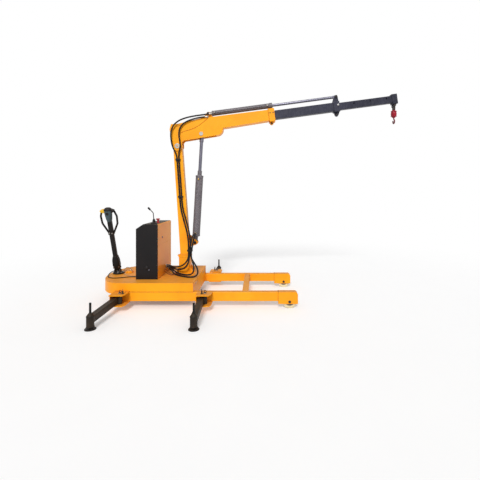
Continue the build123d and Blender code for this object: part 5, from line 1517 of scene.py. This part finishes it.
@dataclass
class Boom:
    """The boom's seams with their painted shadow lines, pins, ports and the pieces on both extensions.

    Attributes:
        half: Half the beam's width.
        tall: Half the beam's height.
        collar: Where the collar at the beam's end starts, along the boom.
        collar_half: Half the collar's width.
        axis_w: Height of the beam's middle over the pivot, square to the boom.
        push_w: Height of the push cylinder's axis.
        lower_seam: The fork plates' lower seam, in the boom's axes.
        upper_seam: Their upper seam.
    """

    half: float = 0.065
    tall: float = 0.0945
    collar: float = 1.379
    collar_half: float = 0.077
    axis_w: float = 0.2666
    push_w: float = 0.416
    lower_seam: Sequence[tuple[float, float]] = (
        (0.051, 0.178), (0.144, 0.199), (0.270, 0.216), (0.366, 0.260), (0.462, 0.315), (0.505, 0.352))
    upper_seam: Sequence[tuple[float, float]] = (
        (-0.042, 0.236), (0.009, 0.274), (0.066, 0.288), (0.113, 0.298))

    def build(self) -> None:
        """Makes the pieces of the boom, its extensions and its cylinder."""
        self.seam_shadow_beads()
        self.collar_welds()
        self.pin_keepers()
        self.cylinder_fittings()
        self.extension_details()

    def seam_shadow_beads(self) -> None:
        """Dark beads along the fork plates' edges on both sides, their dark colour a painted shadow of those
        edges.
        """
        beads = PatternSet("weld_bead", WELD_AND_EDGE_SHADOW, Slot.YELLOW)
        for side in (-1, 1):
            y = side * (self.half + 0.0002)
            for seam in (self.lower_seam, self.upper_seam):
                # Painted shadow: dark beads along the plates' edges draw the shadow line that those edges cast.
                line = Hose([BOOM_AXES.point(u, w, y) for u, w in seam]).line()
                beads.put({"Pitch": 0.009, "Radius": 0.0048}, edges=[[tuple(p) for p in line]])
        beads.piece("boom_seam_shadow_beads", Body.BOOM)

    def collar_welds(self) -> None:
        """Beads round the beam behind the collar and round the extension behind its collar."""
        for name, body, u, wide, tall, radius, finish, slot in (
            ("boom_collar_bead", Body.BOOM, self.collar, self.half, self.tall, 0.005, WELD_AND_EDGE_SHADOW, Slot.YELLOW),
            ("extension_one_bead", Body.EXTENSION_ONE, 2.334, 0.050, 0.0625, 0.004, TUBE, Slot.TUBE),
        ):
            beads = PatternSet("weld_bead", finish, slot)
            corners = rectangle(0.0, 0.0, wide, tall)
            beads.put({"Pitch": 0.009, "Radius": radius},
                      edges=[[BOOM_AXES.point(u - 0.001, self.axis_w + w, y) for y, w in corners]])
            beads.piece(name, body)

    def pin_keepers(self) -> None:
        """Washers and heads on the ends of the push cylinder's pins."""
        for name, body, u, half in (("push_rear_keepers", Body.BOOM, 0.505, 0.054),
                                    ("push_front_keepers", Body.EXTENSION_ONE, 2.391, 0.046)):
            draft = Draft()
            washer = [(0.018, -0.003), (0.018, 0.001)]
            head = [(0.0105, 0.0), (0.0105, 0.008), (0.009, 0.010)]
            turned = ((washer, ROUND), (head, 20))
            draft.ends(BOOM_AXES.point(u, self.push_w), half, turned, BOOM_AXES.along())
            draft.mount(name, DARK_STEEL, Slot.STEEL, body, bevel=0.0006)

    def cylinder_fittings(self) -> None:
        """Ports, nuts and a steel pipe along the push cylinder's near side."""
        ports, nuts, pipe = Draft(), Draft(), Draft()
        for u in (0.600, 1.372):
            seat = axes(BOOM_AXES.point(u, self.push_w), BOOM_AXES.along(), (0, -1, 0))
            ports.lathe([(0.014, 0.033), (0.014, 0.044), (0.0125, 0.046)], seat)
            nuts.lathe([(0.011, 0.046), (0.011, 0.057)], seat, steps=HEXAGON)
        ring = axes(BOOM_AXES.point(0.575, self.push_w), (0, 1, 0), BOOM_AXES.along())
        ports.lathe([(0.0375, -0.008), (0.0392, -0.005), (0.0392, 0.005), (0.0375, 0.008)], ring)
        route = [(0.600, -0.060), (0.640, -0.062), (0.690, -0.050), (0.780, -0.0425),
                 (1.000, -0.0415), (1.200, -0.0425), (1.290, -0.050), (1.335, -0.062), (1.372, -0.060)]
        line = Hose([BOOM_AXES.point(u, self.push_w - 0.004, y) for u, y in route]).line()
        pipe.tube(line, 0.0038, 10)
        ports.mount("push_ports", CYLINDER, Slot.CYLINDER, Body.BOOM)
        nuts.mount("push_port_nuts", STEEL, Slot.STEEL, Body.BOOM, bevel=0.0006)
        pipe.mount("push_steel_line", CYLINDER, Slot.CYLINDER, Body.BOOM)

    def extension_details(self) -> None:
        """The bolts in both eyes, the locking pin on the first extension and the collar's screws."""
        for name, body, u, w, half in (
            ("boom_eye_bolt", Body.BOOM, 1.408, 0.156, 0.012),
            ("extension_eye_bolt", Body.EXTENSION_ONE, 2.371, 0.155, 0.010),
        ):
            bolt = Draft()
            washer = [(0.0150, 0.0004), (0.0150, 0.003), (0.0145, 0.0035)]
            head = [(0.0110, 0.003), (0.0110, 0.011), (0.0095, 0.012)]
            turned = ((washer, ROUND), (head, HEXAGON))
            bolt.ends(BOOM_AXES.point(u, w), half, turned, BOOM_AXES.along())
            bolt.mount(name, DARK_STEEL, Slot.STEEL, body)
        white, ring = Draft(), Draft()
        at = axes(BOOM_AXES.point(2.396, 0.284, -0.0622), BOOM_AXES.along(), (0, -1, 0))
        white.lathe([(0.013, 0.0), (0.013, 0.006), (0.010, 0.010), (0.008, 0.022), (0.0095, 0.026)], at)
        hang = Matrix.Translation((0.0, -0.011, 0.018)) @ Matrix.Rotation(1.2, 4, "Y")
        ring.torus(0.013, 0.0018, at @ hang)
        white.mount("locking_pin", WHITE_PIN, Slot.STEEL, Body.EXTENSION_ONE)
        ring.mount("locking_pin_ring", STEEL, Slot.STEEL, Body.EXTENSION_ONE)
        bolts = PatternSet("bolt_row", DARK_STEEL, Slot.STEEL)
        for side in (-1, 1):
            start = BOOM_AXES.point(self.collar + 0.020, self.axis_w + 0.030, side * self.collar_half)
            bolts.put({"Count": 2, "Spacing": 0.045, "Radius": 0.007, "Height": 0.006, "Seed": 31},
                      axes(start, BOOM_AXES.along(), (0, side, 0)))
        bolts.piece("collar_screws", Body.BOOM)


@dataclass
class HookSet:
    """The bands of the swivel body and the nuts of the hook's pin."""

    x: float = 2.063
    top: float = 2.734
    bottom: float = 2.622

    def build(self) -> None:
        """Makes the hook's small pieces."""
        band = Draft()
        for height in (self.top - 0.020, self.bottom + 0.022):
            band.lathe([(0.0412, -0.004), (0.0425, -0.002), (0.0425, 0.002), (0.0412, 0.004)],
                       Matrix.Translation((self.x, 0, height)))
        band.mount("hook_block_bands", RED_PAINT, Slot.RED_PAINT, Body.HOOK_SHACKLE)
        nuts = Draft()
        nut = [(0.0155, 0.0), (0.0155, 0.008), (0.0135, 0.010)]
        nuts.ends(BOOM_AXES.point(3.223, 0.172), 0.0475, ((nut, HEXAGON),))
        nuts.mount("hook_pin_nuts", DARK_STEEL, Slot.STEEL, Body.EXTENSION_TWO, bevel=0.0006)


@dataclass
class Wheels:
    """Bearing caps of the front wheels."""

    front_x: float = 0.478
    front_y: float = 0.5
    front_z: float = 0.09
    half: float = 0.033

    def build(self) -> None:
        """Makes the bearing caps on both front wheels."""
        for side, body in ((-1, Body.WHEEL_RIGHT), (1, Body.WHEEL_LEFT)):
            caps = Draft()
            middle = (self.front_x, self.front_y * side, self.front_z)
            caps.ends(middle, self.half, (([(0.026, -0.002), (0.026, 0.0012), (0.023, 0.0022)], ROUND),))
            name = body.value
            caps.mount(f"{name}_caps", STEEL, Slot.STEEL, body)


@dataclass
class Studio:
    """The camera, the sun, the world and the pale floor.

    Attributes:
        camera_at: The camera's place, in metres.
        lens: Focal length in millimetres on a 36 mm sensor.
        shift: Shift of the lens in X and Y.
        sun: The sun's strength, and its turn about X and Z in degrees.
        fill: Brightness of the world on the object.
        glow: How much the floor glows for the camera.
        fade: Distances from the crane at which the floor turns plain.
        reach: Half the floor's size.
    """

    camera_at: Point = (0.050, -4.888, 1.5)
    lens: float = 24.9
    shift: tuple[float, float] = (-0.0354, -0.0958)
    sun: tuple[float, float, float] = (2.2, 55.0, -4.0)
    fill: float = 0.45
    glow: float = 0.17
    fade: tuple[float, float] = (3.0, 7.0)
    reach: float = 40.0

    def build(self) -> None:
        """Makes the whole studio."""
        bpy.context.scene.view_settings.view_transform = "Standard"
        self.camera()
        self.lights()
        self.world()
        self.floor()

    def camera(self) -> None:
        """The camera at the photograph's place."""
        data = bpy.data.cameras.new("camera")
        data.sensor_width = 36.0
        data.lens = self.lens
        data.shift_x, data.shift_y = self.shift
        camera = linked("camera", data)
        camera.location = self.camera_at
        camera.rotation_euler = (math.radians(90), 0, 0)
        bpy.context.scene.camera = camera

    def lights(self) -> None:
        """One soft sun from above, behind the camera."""
        strength, tilt, turn = self.sun
        data = bpy.data.lights.new("sun", "SUN")
        data.energy, data.angle = strength, math.radians(14)
        linked("sun", data).rotation_euler = (math.radians(tilt), 0, math.radians(turn))

    def world(self) -> None:
        """A neutral sky that looks white and lights the object softly."""
        world = bpy.data.worlds.new("studio")
        bpy.context.scene.world = world
        world.use_nodes = True
        nodes = Nodes(world.node_tree)
        background = world.node_tree.nodes["Background"]
        strength = nodes.math("ADD", nodes.math("MULTIPLY", self.seen(nodes), 1 - self.fill), self.fill)
        nodes.feed(background, {"Color": (1, 1, 1, 1), "Strength": strength})

    @staticmethod
    def seen(nodes: Nodes) -> bpy.types.NodeSocket:
        """1 for camera, glossy and transmission rays and 0 for the others."""
        path = nodes.add("ShaderNodeLightPath").outputs
        both = nodes.math("ADD", path["Is Camera Ray"], path["Is Glossy Ray"])
        return nodes.math("ADD", both, path["Is Transmission Ray"], clamp=True)

    def floor(self) -> None:
        """A pale floor that keeps the shadow and turns to plain white far away."""
        mesh = bpy.data.meshes.new("floor")
        corners = rectangle(0.0, 0.0, self.reach, self.reach)[:4]
        mesh.from_pydata([(x, y, 0) for x, y in corners], [], [(0, 1, 2, 3)])
        material = bpy.data.materials.new("Pale floor")
        material.use_nodes = True
        nodes = Nodes(material.node_tree)
        shader = material.node_tree.nodes["Principled BSDF"]
        seen = self.seen(nodes)
        grain = nodes.noise(scale=2.5, detail=3.0)
        tone = nodes.math("ADD", nodes.math("MULTIPLY", grain, 0.02), 0.93)
        shade = nodes.add("ShaderNodeCombineColor", {"Red": tone, "Green": tone, "Blue": tone})
        nodes.feed(shader, {
            "Base Color": shade.outputs[0], "Roughness": 0.9, "Specular IOR Level": 0.1,
            "Emission Color": (1, 1, 1, 1), "Emission Strength": nodes.math("MULTIPLY", seen, self.glow),
        })
        place = nodes.add("ShaderNodeTexCoord").outputs["Object"]
        far = nodes.add("ShaderNodeVectorMath", {0: place}, operation="LENGTH").outputs["Value"]
        share = nodes.math("MULTIPLY", nodes.ramp(far, *self.fade), seen)
        white = nodes.add("ShaderNodeEmission", {"Strength": 1.0, "Color": (1, 1, 1, 1)}).outputs[0]
        mix = nodes.add("ShaderNodeMixShader", {0: share, 1: shader.outputs[0], 2: white})
        nodes.feed(material.node_tree.nodes["Material Output"], {"Surface": mix.outputs[0]})
        mesh.materials.append(material)
        linked("floor", mesh)


@dataclass
class Crane:
    """All sub-assemblies of the crane."""

    hydraulics: Hydraulics = field(default_factory=Hydraulics)
    chassis: Chassis = field(default_factory=Chassis)
    cabinet: Cabinet = field(default_factory=Cabinet)
    deck: DeckFittings = field(default_factory=DeckFittings)
    tiller: Tiller = field(default_factory=Tiller)
    mast: Mast = field(default_factory=Mast)
    boom: Boom = field(default_factory=Boom)
    hook: HookSet = field(default_factory=HookSet)
    wheels: Wheels = field(default_factory=Wheels)
    outriggers: Sequence[Outrigger] = (
        Outrigger("rear_right", -1.705, -4.5, -1),
        Outrigger("rear_left", -1.705, -4.5, 1),
        Outrigger("front_right", -0.618, 1.6, -1),
        Outrigger("front_left", -0.618, 1.6, 1),
    )

    def build(self) -> None:
        """Builds every sub-assembly in turn."""
        dress_frame()
        parts = (self.hydraulics, self.chassis, self.cabinet, self.deck, self.tiller, self.mast, self.boom,
                 self.hook, self.wheels, *self.outriggers)
        for part in parts:
            part.build()


def main() -> None:
    """Dresses the crane and sets up the studio round it."""
    logging.basicConfig(level=logging.INFO, format="%(name)s: %(message)s")
    Studio().build()
    Crane().build()


if __name__ == "__main__":
    main()
